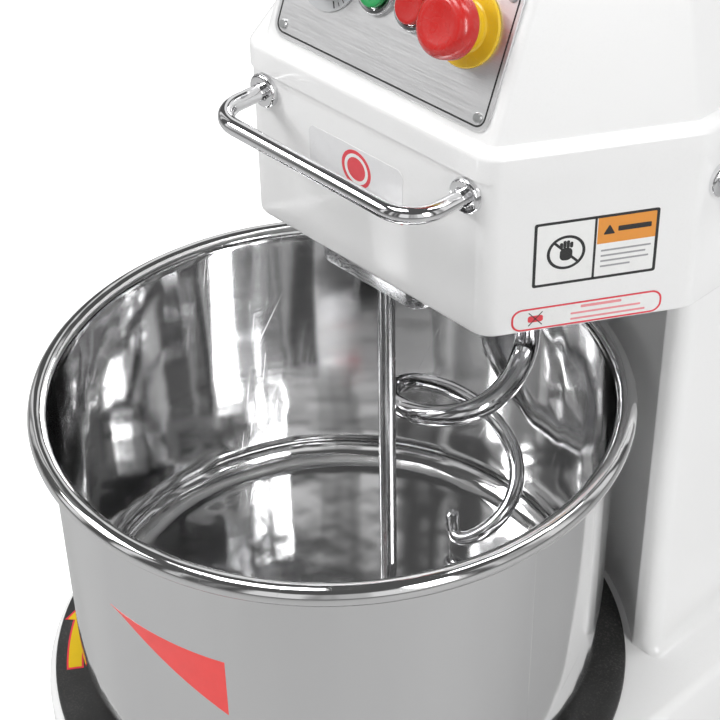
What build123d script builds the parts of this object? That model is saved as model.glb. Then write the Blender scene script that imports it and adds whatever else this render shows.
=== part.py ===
# Spiral dough mixer with a fixed head, for about 20 litres of dough: a white sheet body on a
# round-fronted plinth, a steel bowl on a driven turntable, a spiral hook and a breaker bar that
# hang from the head, and a gearmotor in the column that drives both by chain.
# Millimetres, +Z up, floor at Z = 0, the front towards -Y. Plans are drawn about the bowl's axis.
import os
from math import asin, cos, pi, radians, sin, sqrt, tan

from build123d import *

os.makedirs("parts", exist_ok=True)

# ---- driving dimensions ----
overall_depth = 700
plinth_r = 204                            # round front of the plinth
bowl_y = plinth_r - overall_depth / 2     # the bowl's axis
sheet = 2.5                               # painted sheet of plinth, column and head
running = 0.05                            # radial clearance of a shaft in a bearing or hole
gap = 0.4                                 # clearance between sliding or turning neighbours

# bowl
rim_z = 450                               # centre of the rolled bead
bead_ring_r, bead_r = 184, 6.8
bowl_r, bowl_sheet = 178.9, 1.5
bowl_floor_z, bowl_corner_r = 248, 20
turntable_r, turntable_h = 115, 10

# plinth and deck
foot_h = 22
plinth_top, deck_top = 226, 229
deck_r, deck_hole_r = 199, 119
body_rear = 466
chassis_z, bridge_z, plate_h = 22, 150, 8

# column
column_half, column_front, scoop_r = 162.5, 142, 204
post_size, post_wall = 30, 3
post_places = [(x, y) for x in (-138, 138) for y in (192, 440)]

# head
head_half, head_front, head_front_half, facet_back = 164, 29.5, 99.5, 139
head_z, lower_shell_top, band_z, shelf_z, cap_z = 524.5, 632, 630, 648, 752
band_proud, shelf_in, cap_angle, cap_side_angle = 1.5, 9, 68, 76.5
head_corner, cap_corner = 16, 8
head_plate_h = 10

# spiral and breaker bar
spiral_y = 115.5
hub_z, hub_r, hub_h = 500, 56, 10
leg_turn, leg_r = 33, 8.8                 # leg's direction from +X, and its radius
leg_straight_z, leg_end_z = rim_z + 8, rim_z - 20
tip_r = 5.2
# the hook's centre line: degrees turned from the leg, distance from the axis, depth below the rim
hook_stations = [(64, 50.5, 42), (127, 48, 57), (191, 45.5, 75), (254, 46.5, 102), (318, 46.5, 137),
                 (382, 33, 171), (440, 13, 188), (500, 3, 180)]
hook_offset = 45
bar_y, bar_r, bar_foot_z = 47.5, 5.8, 252
bracket_half, bracket_front, bracket_back, bracket_h = 45, 31, 66, 10

# drive
chain_pitch, roller_r, sprocket_w = 12.7, 4.2, 7.2
bowl_teeth, lower_teeth, upper_teeth, spiral_teeth = 60, 12, 26, 13
main_y, main_r = 270, 12.5
lower_chain_z, upper_chain_z = 108, 614
spindle_r, bowl_spindle_r = 15, 17.5
gearbox_y, gearbox_z, gearbox_h, foot_span = 341, 252, 88, 142
motor_y, motor_r, motor_h = 385, 60, 138


def at(x, y, z):
    """A level plane at a point given about the bowl's axis."""
    return Plane((x, bowl_y + y, z))


def upright(y):
    """The plane across the machine at a distance behind the bowl's axis, seen from the front."""
    return Plane(origin=(0, bowl_y + y, 0), x_dir=(1, 0, 0), z_dir=(0, -1, 0))


def write(builder, name):
    builder.part.label = name
    export_step(builder.part, f"parts/{name}.step")


# ---- bowl, turntable and spindle ----
with BuildPart() as bowl:
    with BuildSketch(upright(0)) as wall:
        with BuildLine():
            Polyline((0, bowl_floor_z - 2), (bowl_r, bowl_floor_z - 2), (bowl_r, rim_z), (0, rim_z),
                     close=True)
        make_face()
        fillet(wall.vertices().group_by(Axis.Y)[0].sort_by(Axis.X)[-1], bowl_corner_r + bowl_sheet)
    with BuildSketch(upright(0), mode=Mode.PRIVATE) as inside:
        inner_r = bowl_r - bowl_sheet
        with BuildLine():
            Polyline((0, bowl_floor_z), (inner_r, bowl_floor_z), (inner_r, rim_z + 10),
                     (0, rim_z + 10), close=True)
        make_face()
        fillet(inside.vertices().group_by(Axis.Y)[0].sort_by(Axis.X)[-1], bowl_corner_r)
    revolve(axis=Axis((0, bowl_y, 0), (0, 0, 1)))
    revolve(inside.sketch, axis=Axis((0, bowl_y, 0), (0, 0, 1)), mode=Mode.SUBTRACT)
    with BuildSketch(upright(0)):
        with Locations((bead_ring_r, rim_z)):
            Circle(bead_r)
    revolve(axis=Axis((0, bowl_y, 0), (0, 0, 1)))
write(bowl, "bowl")

turntable_z = bowl_floor_z - 2 - turntable_h
with BuildPart() as turntable:
    with BuildSketch(at(0, 0, turntable_z)):
        Circle(turntable_r)
        with PolarLocations(85, 6):
            Circle(4.2, mode=Mode.SUBTRACT)
        with PolarLocations(60, 6):
            Circle(12, mode=Mode.SUBTRACT)
        Circle(bowl_spindle_r - 4, mode=Mode.SUBTRACT)
    extrude(amount=turntable_h)
write(turntable, "bowl_turntable")

with BuildPart() as bowl_bolts:
    with BuildSketch(at(0, 0, turntable_z)):
        with PolarLocations(85, 6):
            Circle(4.15)
    extrude(amount=turntable_h)
    with BuildSketch(at(0, 0, turntable_z - 5)):
        with PolarLocations(85, 6):
            RegularPolygon(7.5, 6)
    extrude(amount=5)
write(bowl_bolts, "bowl_bolts")

spindle_foot_z = lower_chain_z - 22
with BuildPart() as bowl_spindle:
    with BuildSketch(at(0, 0, spindle_foot_z)):
        Circle(bowl_spindle_r)
    extrude(amount=turntable_z - 9 - spindle_foot_z)
    with BuildSketch(at(0, 0, turntable_z - 9)):
        Circle(42)
    extrude(amount=9)
    with BuildSketch(at(0, 0, turntable_z)):
        Circle(bowl_spindle_r - 4)
    extrude(amount=turntable_h)
    chamfer(bowl_spindle.faces().sort_by(Axis.Z)[0].edges(), 1.5)
write(bowl_spindle, "bowl_spindle")

with BuildPart() as bowl_housing:
    with BuildSketch(at(0, 0, bridge_z + plate_h)):
        Circle(75)
        with PolarLocations(62, 6, 30):
            Circle(4.3, mode=Mode.SUBTRACT)
    extrude(amount=10)
    with BuildSketch(at(0, 0, bridge_z + plate_h)):
        Circle(46)
    extrude(amount=64)
    with BuildSketch(at(0, 0, bridge_z + plate_h)):
        Circle(36)
    extrude(amount=64, mode=Mode.SUBTRACT)
    fillet(bowl_housing.edges().filter_by(GeomType.CIRCLE).group_by(Axis.Z)[-1].sort_by(
        SortBy.RADIUS)[-1], 2)
write(bowl_housing, "bowl_bearing_housing")


def bearing(x, y, z, inner_r, outer_r, width):
    """Adds a sealed ball bearing to the open part: a ring with a shallow groove on each face."""
    with BuildSketch(at(x, y, z)) as ring:
        Circle(outer_r)
        Circle(inner_r, mode=Mode.SUBTRACT)
    extrude(ring.sketch, amount=width)
    for groove_z in (z, z + width - 0.8):
        with BuildSketch(at(x, y, groove_z)) as groove:
            Circle(outer_r - 4)
            Circle(inner_r + 4, mode=Mode.SUBTRACT)
        extrude(groove.sketch, amount=0.8, mode=Mode.SUBTRACT)


with BuildPart() as bowl_bearings:
    for bearing_z in (bridge_z + plate_h + 1, bridge_z + plate_h + 46):
        bearing(0, 0, bearing_z, bowl_spindle_r + running, 36, 17)
write(bowl_bearings, "bowl_bearings")


def hex_screws(heads, z, length, shank_r, head_r, head_h):
    """Adds hexagon screws to the open part, heads up, at points about the bowl's axis."""
    for x, y in heads:
        with BuildSketch(at(x, y, z - length)) as shank:
            Circle(shank_r)
        extrude(shank.sketch, amount=length)
        with BuildSketch(at(x, y, z)) as head:
            RegularPolygon(head_r, 6)
        extrude(head.sketch, amount=head_h)


housing_holes = [(62 * cos(radians(a)), 62 * sin(radians(a))) for a in range(30, 390, 60)]
# ---- plinth: chassis, painted shell, deck and feet ----
foot_places = [(x, y) for x in (-130, 130) for y in (-100, 425)]


def plinth_outline(z, inset):
    """The plinth's plan at a height, pulled in by an inset: a round front and a square rear."""
    with BuildSketch(at(0, 0, z)) as outline:
        Circle(plinth_r - inset)
        rear = body_rear - inset
        with Locations((0, rear / 2)):
            Rectangle(2 * (plinth_r - inset), rear)
        fillet(outline.vertices().group_by(Axis.Y)[-1], 30 - inset)
    return outline.sketch


with BuildPart() as base_shell:
    extrude(plinth_outline(foot_h, 0), amount=plinth_top - foot_h)
    fillet(base_shell.faces().sort_by(Axis.Z)[-1].edges(), 7)
    extrude(plinth_outline(foot_h, sheet), amount=plinth_top - foot_h - sheet, mode=Mode.SUBTRACT)
    with BuildSketch(at(0, 0, plinth_top - 10)):
        Circle(deck_hole_r)
        with Locations((0, (scoop_r + 14 + body_rear - 12) / 2)):
            Rectangle(240, body_rear - scoop_r - 26)
        with Locations(*post_places):
            Rectangle(post_size + 0.4, post_size + 0.4)
    extrude(amount=20, mode=Mode.SUBTRACT)
    with BuildSketch(upright(body_rear - 10)):
        with Locations((120, 90)):
            Circle(8.2)
    extrude(amount=-20, mode=Mode.SUBTRACT)
write(base_shell, "plinth_shell")

with BuildPart() as chassis:
    extrude(plinth_outline(chassis_z, sheet + 4), amount=plate_h)
    with BuildSketch(at(0, main_y, chassis_z)):
        Rectangle(120, 120)
    extrude(amount=plate_h, mode=Mode.SUBTRACT)
    with BuildSketch(at(0, 0, chassis_z)):
        Circle(70)
    extrude(amount=plate_h, mode=Mode.SUBTRACT)
    with BuildSketch(at(0, (body_rear - 130) / 2 - 10, bridge_z)):
        Rectangle(300, body_rear + 100)
    extrude(amount=plate_h)
    with BuildSketch(at(0, 0, bridge_z)):
        Circle(bowl_spindle_r + 6)
        with PolarLocations(62, 6, 30):
            Circle(4.25)
        with Locations((0, main_y)):
            Circle(30)
    extrude(amount=plate_h, mode=Mode.SUBTRACT)
    for side in (-1, 1):
        with BuildSketch(at(side * 146, (body_rear - 130) / 2 - 10, chassis_z + plate_h)):
            Rectangle(plate_h, body_rear + 80)
        extrude(amount=bridge_z - chassis_z - plate_h)
    for foot_x, foot_y in foot_places:
        with BuildSketch(at(foot_x, foot_y, chassis_z)):
            Circle(4.2)
        extrude(amount=plate_h, mode=Mode.SUBTRACT)
write(chassis, "chassis")

with BuildPart() as deck:
    with BuildSketch(at(0, 0, plinth_top)):
        Circle(deck_r)
        Circle(deck_hole_r, mode=Mode.SUBTRACT)
    extrude(amount=deck_top - plinth_top)
    fillet(deck.edges().filter_by(GeomType.CIRCLE).group_by(Axis.Z)[-1], 1)
write(deck, "deck_ring")

with BuildPart() as feet:
    for foot_x, foot_y in foot_places:
        with BuildSketch(at(foot_x, foot_y, 0)):
            Circle(24)
        extrude(amount=foot_h, taper=12)
        with BuildSketch(at(foot_x, foot_y, 0)):
            Circle(9)
        extrude(amount=10, mode=Mode.SUBTRACT)
        with BuildSketch(at(foot_x, foot_y, 5)):
            Circle(4.15)
        extrude(amount=foot_h, mode=Mode.SUBTRACT)
    fillet(feet.edges().group_by(Axis.Z)[0].sort_by(SortBy.RADIUS)[-4:], 2)
write(feet, "rubber_feet")

with BuildPart() as foot_bolts:
    for foot_x, foot_y in foot_places:
        with BuildSketch(at(foot_x, foot_y, 3)):
            RegularPolygon(7.5, 6)
        extrude(amount=5.5)
        with BuildSketch(at(foot_x, foot_y, 8.5)):
            Circle(8.9)
        extrude(amount=1.5)
        with BuildSketch(at(foot_x, foot_y, 10)):
            Circle(4.1)
        extrude(amount=chassis_z + plate_h + 10 - 10)
write(foot_bolts, "foot_bolts")

# ---- column ----
column_top = head_z


louvre_rows, louvre_step = 9, 14
cover_h = column_top - plinth_top - 12
cover_mid = (plinth_top + 8 + column_top - 4) / 2
cover_screws = [(x, cover_mid + z) for x in (-147, 147) for z in (-125, -42, 42, 125)]


def column_outline(z, inset):
    """The column's plan: square behind, scooped at the front to clear the bowl."""
    with BuildSketch(at(0, 0, z)) as outline:
        front, rear, half = column_front + inset, body_rear - inset, column_half - inset
        with Locations((0, (front + rear) / 2)):
            Rectangle(2 * half, rear - front)
        Circle(scoop_r + inset, mode=Mode.SUBTRACT)
        fillet(outline.vertices().group_by(Axis.Y)[-1], 18 - inset)
        fillet(outline.vertices().filter_by(lambda v: abs(v.X) > half - 1)
               .group_by(Axis.Y)[0], 11 - inset)
        fillet(outline.vertices().group_by(Axis.Y)[0], 2.6)
    return outline.sketch


with BuildPart() as column_shell:
    extrude(column_outline(plinth_top, 0), amount=column_top - plinth_top)
    extrude(column_outline(plinth_top, sheet), amount=column_top - plinth_top, mode=Mode.SUBTRACT)
    for side in (-1, 1):
        cove_plane = Plane(origin=(side * column_half, bowl_y + column_front + 14, plinth_top),
                           x_dir=(side, 0, 0), z_dir=(0, 1, 0) if side < 0 else (0, -1, 0))
        cove_len = body_rear - column_front - 36
        with BuildSketch(cove_plane):
            with BuildLine():
                Line((-sheet / 2, 0), (11, 0))
                RadiusArc((11, 0), (0, 11), 11)
                Polyline((0, 11), (-sheet / 2, 11), (-sheet / 2, 0))
            make_face()
        extrude(amount=cove_len if side < 0 else -cove_len)
    with BuildSketch(upright(body_rear - 10)):
        with Locations((0, (plinth_top + 16 + column_top - 12) / 2)):
            RectangleRounded(280, column_top - plinth_top - 28, 8)
        with Locations(*cover_screws):
            Circle(2.05)
    extrude(amount=-20, mode=Mode.SUBTRACT)
write(column_shell, "column_shell")

with BuildPart() as rear_cover:
    with BuildSketch(upright(body_rear)):
        with Locations((0, cover_mid)):
            RectangleRounded(304, cover_h, 6)
        with Locations((0, cover_mid + 40)):
            with GridLocations(120, louvre_step, 2, louvre_rows):
                SlotOverall(90, 5, mode=Mode.SUBTRACT)
        with Locations(*cover_screws):
            Circle(2.1, mode=Mode.SUBTRACT)
    extrude(amount=-1.5)
write(rear_cover, "rear_cover")

with BuildPart() as cover_screws_part:
    for screw_x, screw_z in cover_screws:
        with BuildSketch(upright(body_rear - 4)):
            with Locations((screw_x, screw_z)):
                Circle(2)
        extrude(amount=-5.5)
        with BuildSketch(upright(body_rear + 1.5)):
            with Locations((screw_x, screw_z)):
                Circle(4)
        extrude(amount=-2.4, taper=14)
    for side in (-1, 1):
        for screw_y in (190, 400):
            with BuildSketch(Plane(origin=(side * (head_half + band_proud), bowl_y + screw_y, 638),
                                   x_dir=(0, 1, 0), z_dir=(side, 0, 0))):
                Circle(4.5)
            extrude(amount=2, taper=12)
write(cover_screws_part, "cover_screws")

gland_end = overall_depth - plinth_r
with BuildPart() as gland:
    for start, end, radius in ((body_rear - 8, body_rear, 8), (body_rear, body_rear + 5, 12.5),
                               (body_rear + 5, gland_end - 8, 9.5), (gland_end - 8, gland_end, 8)):
        with BuildSketch(upright(start)):
            with Locations((120, 90)):
                Circle(radius)
        extrude(amount=-(end - start))
    with BuildSketch(upright(body_rear - 8)):
        with Locations((120, 90)):
            Circle(4)
    extrude(amount=-(gland_end - body_rear + 8), mode=Mode.SUBTRACT)
write(gland, "cable_gland")

with BuildPart() as uprights:
    with BuildSketch(at(0, 0, bridge_z + plate_h)):
        with Locations(*post_places):
            Rectangle(post_size, post_size)
            Rectangle(post_size - 2 * post_wall, post_size - 2 * post_wall, mode=Mode.SUBTRACT)
    extrude(amount=head_z + sheet - bridge_z - plate_h)
write(uprights, "column_uprights")

# ---- head: carrier plate, shells, cover ----


def head_outline(z, inset, corner, front_inset=None):
    """The head's plan, pulled in by an inset: a narrow front, two facets and square sides.

    The front may be pulled in further than the rest."""
    front_in = inset if front_inset is None else front_inset
    run_x, run_y = head_half - head_front_half, facet_back - head_front
    length = sqrt(run_x ** 2 + run_y ** 2)
    front_x = head_front_half + (front_in * run_x - inset * length) / run_y
    side_x = head_half - inset
    facet_y = facet_back + (inset * length - inset * run_y) / run_x
    with BuildSketch(at(0, 0, z)) as outline:
        with BuildLine():
            Polyline((-front_x, head_front + front_in), (front_x, head_front + front_in),
                     (side_x, facet_y), (side_x, body_rear - inset), (-side_x, body_rear - inset),
                     (-side_x, facet_y), close=True)
        make_face()
        fillet(outline.vertices(), corner)
    return outline.sketch


with BuildPart() as lower_shell:
    extrude(head_outline(head_z, 0, head_corner), amount=lower_shell_top - head_z)
    fillet(lower_shell.faces().sort_by(Axis.Z)[0].edges(), 3)
    extrude(head_outline(head_z + sheet, sheet, head_corner - sheet),
            amount=lower_shell_top - head_z, mode=Mode.SUBTRACT)
    with BuildSketch(at(0, 0, head_z - 5)):
        with Locations((0, spiral_y)):
            Circle(46)
        with Locations((0, (scoop_r + 14 + body_rear - 12) / 2)):
            Rectangle(250, body_rear - scoop_r - 26)
        with Locations(*post_places):
            Rectangle(post_size + 0.4, post_size + 0.4)
    extrude(amount=20, mode=Mode.SUBTRACT)
write(lower_shell, "head_lower_shell")

head_plate_z = head_z + sheet
with BuildPart() as head_plate:
    with BuildSketch(at(0, 0, head_plate_z)):
        with BuildLine():
            Polyline((-78, 42), (78, 42), (153, 165), (153, 455), (-153, 455), (-153, 165), close=True)
        make_face()
        with Locations((0, spiral_y)):
            Circle(43, mode=Mode.SUBTRACT)
        with Locations((0, main_y)):
            Circle(22, mode=Mode.SUBTRACT)
        with Locations((0, motor_y)):
            Circle(48, mode=Mode.SUBTRACT)
    extrude(amount=head_plate_h)
write(head_plate, "head_carrier_plate")

cap_run = (cap_z - shelf_z) / tan(radians(cap_angle))         # how far the front leans back
side_run = (cap_z - shelf_z) / tan(radians(cap_side_angle))   # how far the other sides lean in
face_plane = Plane(origin=(0, bowl_y + head_front + shelf_in, shelf_z), x_dir=(1, 0, 0),
                   z_dir=(0, -sin(radians(cap_angle)), cos(radians(cap_angle))))


def on_face(x, y, height):
    """A plane on the head's sloped front: across, up the slope, and out from it."""
    return Plane(origin=face_plane.from_local_coords((x, y, height)), x_dir=(1, 0, 0),
                 z_dir=face_plane.z_dir)


# controls on the panel: place across and up the slope
panel_w, panel_h, panel_t, panel_low = 176, 84, 1.5, 4
timer_at, start_at, stop_at, estop_at, lamp_at = (-54, 54), (-14, 54), (16, 54), (56, 56), (1, 78)
timer_hole_r, button_hole_r, estop_hole_r, lamp_hole_r = 4, 11.2, 11.2, 4.2
control_holes = [(timer_at, timer_hole_r), (start_at, button_hole_r), (stop_at, button_hole_r),
                 (estop_at, estop_hole_r), (lamp_at, lamp_hole_r)]


def cut_control_holes(depth):
    for (hole_x, hole_y), hole_r in control_holes:
        with BuildSketch(on_face(hole_x, hole_y, panel_t)) as hole:
            Circle(hole_r)
        extrude(hole.sketch, amount=-depth, mode=Mode.SUBTRACT)


with BuildPart() as top_cover:
    extrude(head_outline(band_z, -band_proud, head_corner + band_proud), amount=shelf_z - band_z)
    fillet(top_cover.faces().sort_by(Axis.Z)[-1].edges(), 5)
    loft([head_outline(shelf_z, shelf_in, cap_corner).face(),
          head_outline(cap_z, shelf_in + side_run, cap_corner, shelf_in + cap_run).face()],
         ruled=True)
    fillet(top_cover.faces().sort_by(Axis.Z)[-1].edges(), 7)
    extrude(head_outline(band_z, 0, head_corner), amount=lower_shell_top - band_z,
            mode=Mode.SUBTRACT)
    extrude(head_outline(band_z, sheet, head_corner - sheet), amount=shelf_z - sheet - band_z,
            mode=Mode.SUBTRACT)
    # the cavity starts a sheet lower, where the sloped walls would be a little further out
    side_in = shelf_in + (sheet - sheet * cos(radians(cap_side_angle))) / sin(radians(cap_side_angle))
    front_in = shelf_in + (sheet - sheet * cos(radians(cap_angle))) / sin(radians(cap_angle))
    loft([head_outline(shelf_z - sheet, side_in, cap_corner - sheet, front_in).face(),
          head_outline(cap_z - sheet, side_in + side_run, cap_corner - sheet,
                       front_in + cap_run).face()], ruled=True, mode=Mode.SUBTRACT)
    cut_control_holes(12)
write(top_cover, "head_top_cover")

# ---- control panel and what stands on it ----
with BuildPart() as panel:
    with BuildSketch(on_face(0, panel_low + panel_h / 2, 0)):
        RectangleRounded(panel_w, panel_h, 9)
    extrude(amount=panel_t)
    cut_control_holes(3)
    chamfer(panel.faces().sort_by(Axis((0, 0, 0), tuple(face_plane.z_dir)))[-1]
            .outer_wire().edges(), 0.4)
write(panel, "control_panel")

panel_screw_places = [(x, y) for x in (-80, 80) for y in (panel_low + 8, panel_low + panel_h - 8)]
with BuildPart() as panel_screws:
    for screw_x, screw_y in panel_screw_places:
        with BuildSketch(on_face(screw_x, screw_y, panel_t)):
            Circle(3)
        extrude(amount=1.4, taper=20)
write(panel_screws, "panel_screws")


def disc(place, start, height, radius, bore=0, taper=0):
    """Adds a disc or ring on the sloped front, at a place and a height above the slope."""
    with BuildSketch(on_face(*place, start)) as outline:
        Circle(radius)
    extrude(outline.sketch, amount=height, taper=taper)
    if bore:
        with BuildSketch(on_face(*place, start)) as hole:
            Circle(bore)
        extrude(hole.sketch, amount=height, mode=Mode.SUBTRACT)


with BuildPart() as timer_dial:
    disc(timer_at, panel_t, 1.2, 25, 3.6)
write(timer_dial, "timer_dial")

with BuildPart() as timer_body:
    with BuildSketch(on_face(*timer_at, -4)):
        RectangleRounded(42, 42, 3)
    extrude(amount=-34)
    with BuildSketch(on_face(*timer_at, -4)):
        Circle(3 + running)
    extrude(amount=-14, mode=Mode.SUBTRACT)
write(timer_body, "timer_body")

knob_foot = panel_t + 1.2 + gap
with BuildPart() as timer_knob:
    disc(timer_at, knob_foot, 3, 17)
    disc(timer_at, knob_foot + 3, 13, 14, taper=3)
    fillet(timer_knob.edges().sort_by(Axis((0, 0, 0), tuple(face_plane.z_dir)))[-1], 1.5)
    with BuildSketch(on_face(*timer_at, knob_foot + 16)):
        with Locations((0, 9)):
            Rectangle(2, 8)
    extrude(amount=-1.2, mode=Mode.SUBTRACT)
    disc(timer_at, -16, 16 + knob_foot, 3)
write(timer_knob, "timer_knob")

with BuildPart() as bezels:
    for place in (start_at, stop_at):
        disc(place, panel_t, 3, 14.5, 10.4 + gap)
        disc(place, -8, 8 + panel_t, 11, 8)
write(bezels, "button_bezels")

button_r, button_travel = 10.4, 3
for place, name in ((start_at, "start_button"), (stop_at, "stop_button")):
    with BuildPart() as button:
        disc(place, panel_t + button_travel + 0.4, 3.4, button_r)
        fillet(button.edges().sort_by(Axis((0, 0, 0), tuple(face_plane.z_dir)))[-1], 1.2)
        disc(place, -10, 10 + panel_t + button_travel + 0.4, 8 - gap)
    write(button, name)

with BuildPart() as contacts:
    for place in (start_at, stop_at, estop_at):
        with BuildSketch(on_face(*place, -14)):
            Rectangle(24, 28)
        extrude(amount=-26)
write(contacts, "contact_blocks")

with BuildPart() as estop_collar:
    disc(estop_at, panel_t, 2, 23, 7 + gap)
    disc(estop_at, panel_t + 2, 5, 14, 7 + gap)
    disc(estop_at, -8, 8 + panel_t, 11, 7 + gap)
write(estop_collar, "estop_collar")

estop_travel = 5
estop_foot = panel_t + 7 + estop_travel + gap
with BuildPart() as estop_plunger:
    disc(estop_at, -6, 6 + estop_foot, 7)
    disc(estop_at, estop_foot, 9, 5)
write(estop_plunger, "estop_plunger")

with BuildPart() as estop_mushroom:
    disc(estop_at, estop_foot + running, 14, 19)
    fillet(estop_mushroom.edges().sort_by(Axis((0, 0, 0), tuple(face_plane.z_dir)))[-1], 7)
    fillet(estop_mushroom.edges().sort_by(Axis((0, 0, 0), tuple(face_plane.z_dir)))[0], 2)
    with BuildSketch(on_face(*estop_at, estop_foot)):
        Circle(5 + running)
    extrude(amount=9 + running, mode=Mode.SUBTRACT)
write(estop_mushroom, "estop_mushroom")

with BuildPart() as lamp:
    disc(lamp_at, -10, 10 + panel_t, 4)
    disc(lamp_at, panel_t, 2, 6)
    disc(lamp_at, panel_t + 2, 4, 4.4)
    fillet(lamp.edges().sort_by(Axis((0, 0, 0), tuple(face_plane.z_dir)))[-1], 1.8)
write(lamp, "pilot_lamp")

# ---- handles: bent chrome rod, and round rosettes where it meets the head ----
rod_r, handle_half, handle_out, handle_bend = 5.25, 85, 43.5, 22
front_handle_z, side_handle_z, side_handle_y = rim_z + 168, rim_z + 158, 241


def handle(foot_plane):
    """Adds one handle: local X along the grip, local Y out from the wall."""
    with BuildLine(foot_plane) as path:
        FilletPolyline((-handle_half, 0), (-handle_half, handle_out), (handle_half, handle_out),
                       (handle_half, 0), radius=handle_bend)
    with BuildSketch(Plane(origin=path.line @ 0, z_dir=path.line % 0)) as section:
        Circle(rod_r)
    sweep(section.sketch, path=path.line)


front_wall = Plane(origin=(0, bowl_y + head_front, front_handle_z), x_dir=(-1, 0, 0),
                   z_dir=(0, 0, 1))
side_walls = [Plane(origin=(side * head_half, bowl_y + side_handle_y, side_handle_z),
                    x_dir=(0, side, 0), z_dir=(0, 0, -1)) for side in (-1, 1)]
handle_walls = {"front_handle": front_wall, "left_handle": side_walls[0],
                "right_handle": side_walls[1]}
for name, foot_plane in handle_walls.items():
    with BuildPart() as grip:
        handle(foot_plane)
    write(grip, name)

with BuildPart() as rosettes:
    for foot_plane in handle_walls.values():
        for end in (-handle_half, handle_half):
            wall_point = foot_plane.from_local_coords((end, 0, 0))
            with BuildSketch(Plane(origin=wall_point, z_dir=foot_plane.y_dir)):
                Circle(11)
            extrude(amount=4.5, taper=8)
            with BuildSketch(Plane(origin=wall_point, z_dir=foot_plane.y_dir)):
                Circle(rod_r)
            extrude(amount=5, mode=Mode.SUBTRACT)
write(rosettes, "handle_rosettes")

# ---- breaker bar ----
bracket_mid = (bracket_front + bracket_back) / 2
bracket_bolts_at = [(x, y) for x in (-34, 34) for y in (bracket_front + 10, bracket_back - 10)]
with BuildPart() as bracket:
    with BuildSketch(at(0, bracket_mid, head_z - bracket_h)):
        RectangleRounded(2 * bracket_half, bracket_back - bracket_front, 11)
    extrude(amount=bracket_h)
    fillet(bracket.faces().sort_by(Axis.Z)[0].edges(), 1.2)
    with BuildSketch(at(0, bar_y, head_z - bracket_h)):
        Circle(bar_r)
    extrude(amount=bracket_h, mode=Mode.SUBTRACT)
write(bracket, "breaker_bar_bracket")

with BuildPart() as bracket_bolts:
    for bolt_x, bolt_y in bracket_bolts_at:
        with BuildSketch(at(bolt_x, bolt_y, head_z - bracket_h)):
            RegularPolygon(5.5, 6)
        extrude(amount=-3.6)
write(bracket_bolts, "bracket_bolts")

with BuildPart() as breaker_bar:
    with BuildSketch(at(0, bar_y, bar_foot_z)):
        Circle(bar_r)
    extrude(amount=head_z - bar_foot_z)
    chamfer(breaker_bar.faces().sort_by(Axis.Z)[0].edges(), 1)
    with BuildSketch(at(bar_r + 2.6, bar_y, bar_foot_z)):
        Rectangle(6, 20)
    extrude(amount=19, mode=Mode.SUBTRACT)
write(breaker_bar, "breaker_bar")

# ---- spiral: hook, hub and spindle ----


def hook_point(turn, radius, z):
    """A point about the spindle's axis, turned clockwise from the leg when seen from above."""
    angle = radians(leg_turn - turn)
    return (radius * cos(angle), bowl_y + spiral_y + radius * sin(angle), z)


helix = [hook_point(turn, radius, rim_z - depth) for turn, radius, depth in hook_stations]
hook_sections, mid_r, mid_share = 56, 6.4, 0.45
with BuildPart() as hook:
    with BuildLine() as path:
        Spline(hook_point(0, hook_offset, leg_straight_z), hook_point(0, hook_offset, leg_end_z),
               *helix)
    centre_line = path.line.edge()
    sections = [(Plane(origin=hook_point(0, hook_offset, hub_z), z_dir=(0, 0, -1)), leg_r)]
    for step in range(hook_sections + 1):
        along = step / hook_sections
        # the rod is drawn down quickly below the leg, then slowly to its tip
        drawn = min(1, along / mid_share)
        tail = max(0, along - mid_share) / (1 - mid_share)
        rod_here = leg_r - (leg_r - mid_r) * drawn - (mid_r - tip_r) * tail
        sections.append((Plane(origin=centre_line @ along, z_dir=centre_line % along), rod_here))
    tip, tip_heading = centre_line @ 1, centre_line % 1
    # the rounded end
    for turn in (radians(30), radians(60)):
        sections.append((Plane(origin=tip + tip_heading * tip_r * sin(turn), z_dir=tip_heading),
                         tip_r * cos(turn)))
    faces = []
    for section_plane, section_r in sections:
        with BuildSketch(section_plane, mode=Mode.PRIVATE) as section:
            Circle(section_r)
        faces.append(section.sketch.face())
    loft(faces, ruled=True)
write(hook, "spiral_hook")

with BuildPart() as hub:
    with BuildSketch(at(0, spiral_y, hub_z)):
        Circle(hub_r)
    extrude(amount=hub_h)
    chamfer(hub.edges().filter_by(GeomType.CIRCLE), 1.5)
    with BuildSketch(at(0, spiral_y, hub_z)):
        Circle(spindle_r)
    extrude(amount=hub_h, mode=Mode.SUBTRACT)
write(hub, "spiral_hub")

spindle_top = upper_chain_z + 16
with BuildPart() as spindle:
    with BuildSketch(at(0, spiral_y, hub_z)):
        Circle(spindle_r)
    extrude(amount=spindle_top - hub_z)
    chamfer(spindle.faces().sort_by(Axis.Z)[-1].edges(), 1.5)
write(spindle, "spiral_spindle")

housing_z = head_plate_z + head_plate_h
with BuildPart() as spindle_housing:
    with BuildSketch(at(0, spiral_y, housing_z)):
        Circle(64)
        with PolarLocations(54, 6):
            Circle(4.3, mode=Mode.SUBTRACT)
    extrude(amount=10)
    with BuildSketch(at(0, spiral_y, head_plate_z)):
        Circle(42)
    extrude(amount=head_plate_h + 54)
    with BuildSketch(at(0, spiral_y, head_plate_z)):
        Circle(31)
    extrude(amount=head_plate_h + 54, mode=Mode.SUBTRACT)
write(spindle_housing, "spindle_housing")

with BuildPart() as spindle_bearings:
    for bearing_z in (head_plate_z + 1, housing_z + 37):
        bearing(0, spiral_y, bearing_z, spindle_r + running, 31, 16)
write(spindle_bearings, "spindle_bearings")

with BuildPart() as seal:
    with BuildSketch(at(0, spiral_y, head_z - 3)):
        Circle(48)
        Circle(spindle_r + 0.5, mode=Mode.SUBTRACT)
    extrude(amount=3)
write(seal, "spindle_seal_plate")

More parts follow.
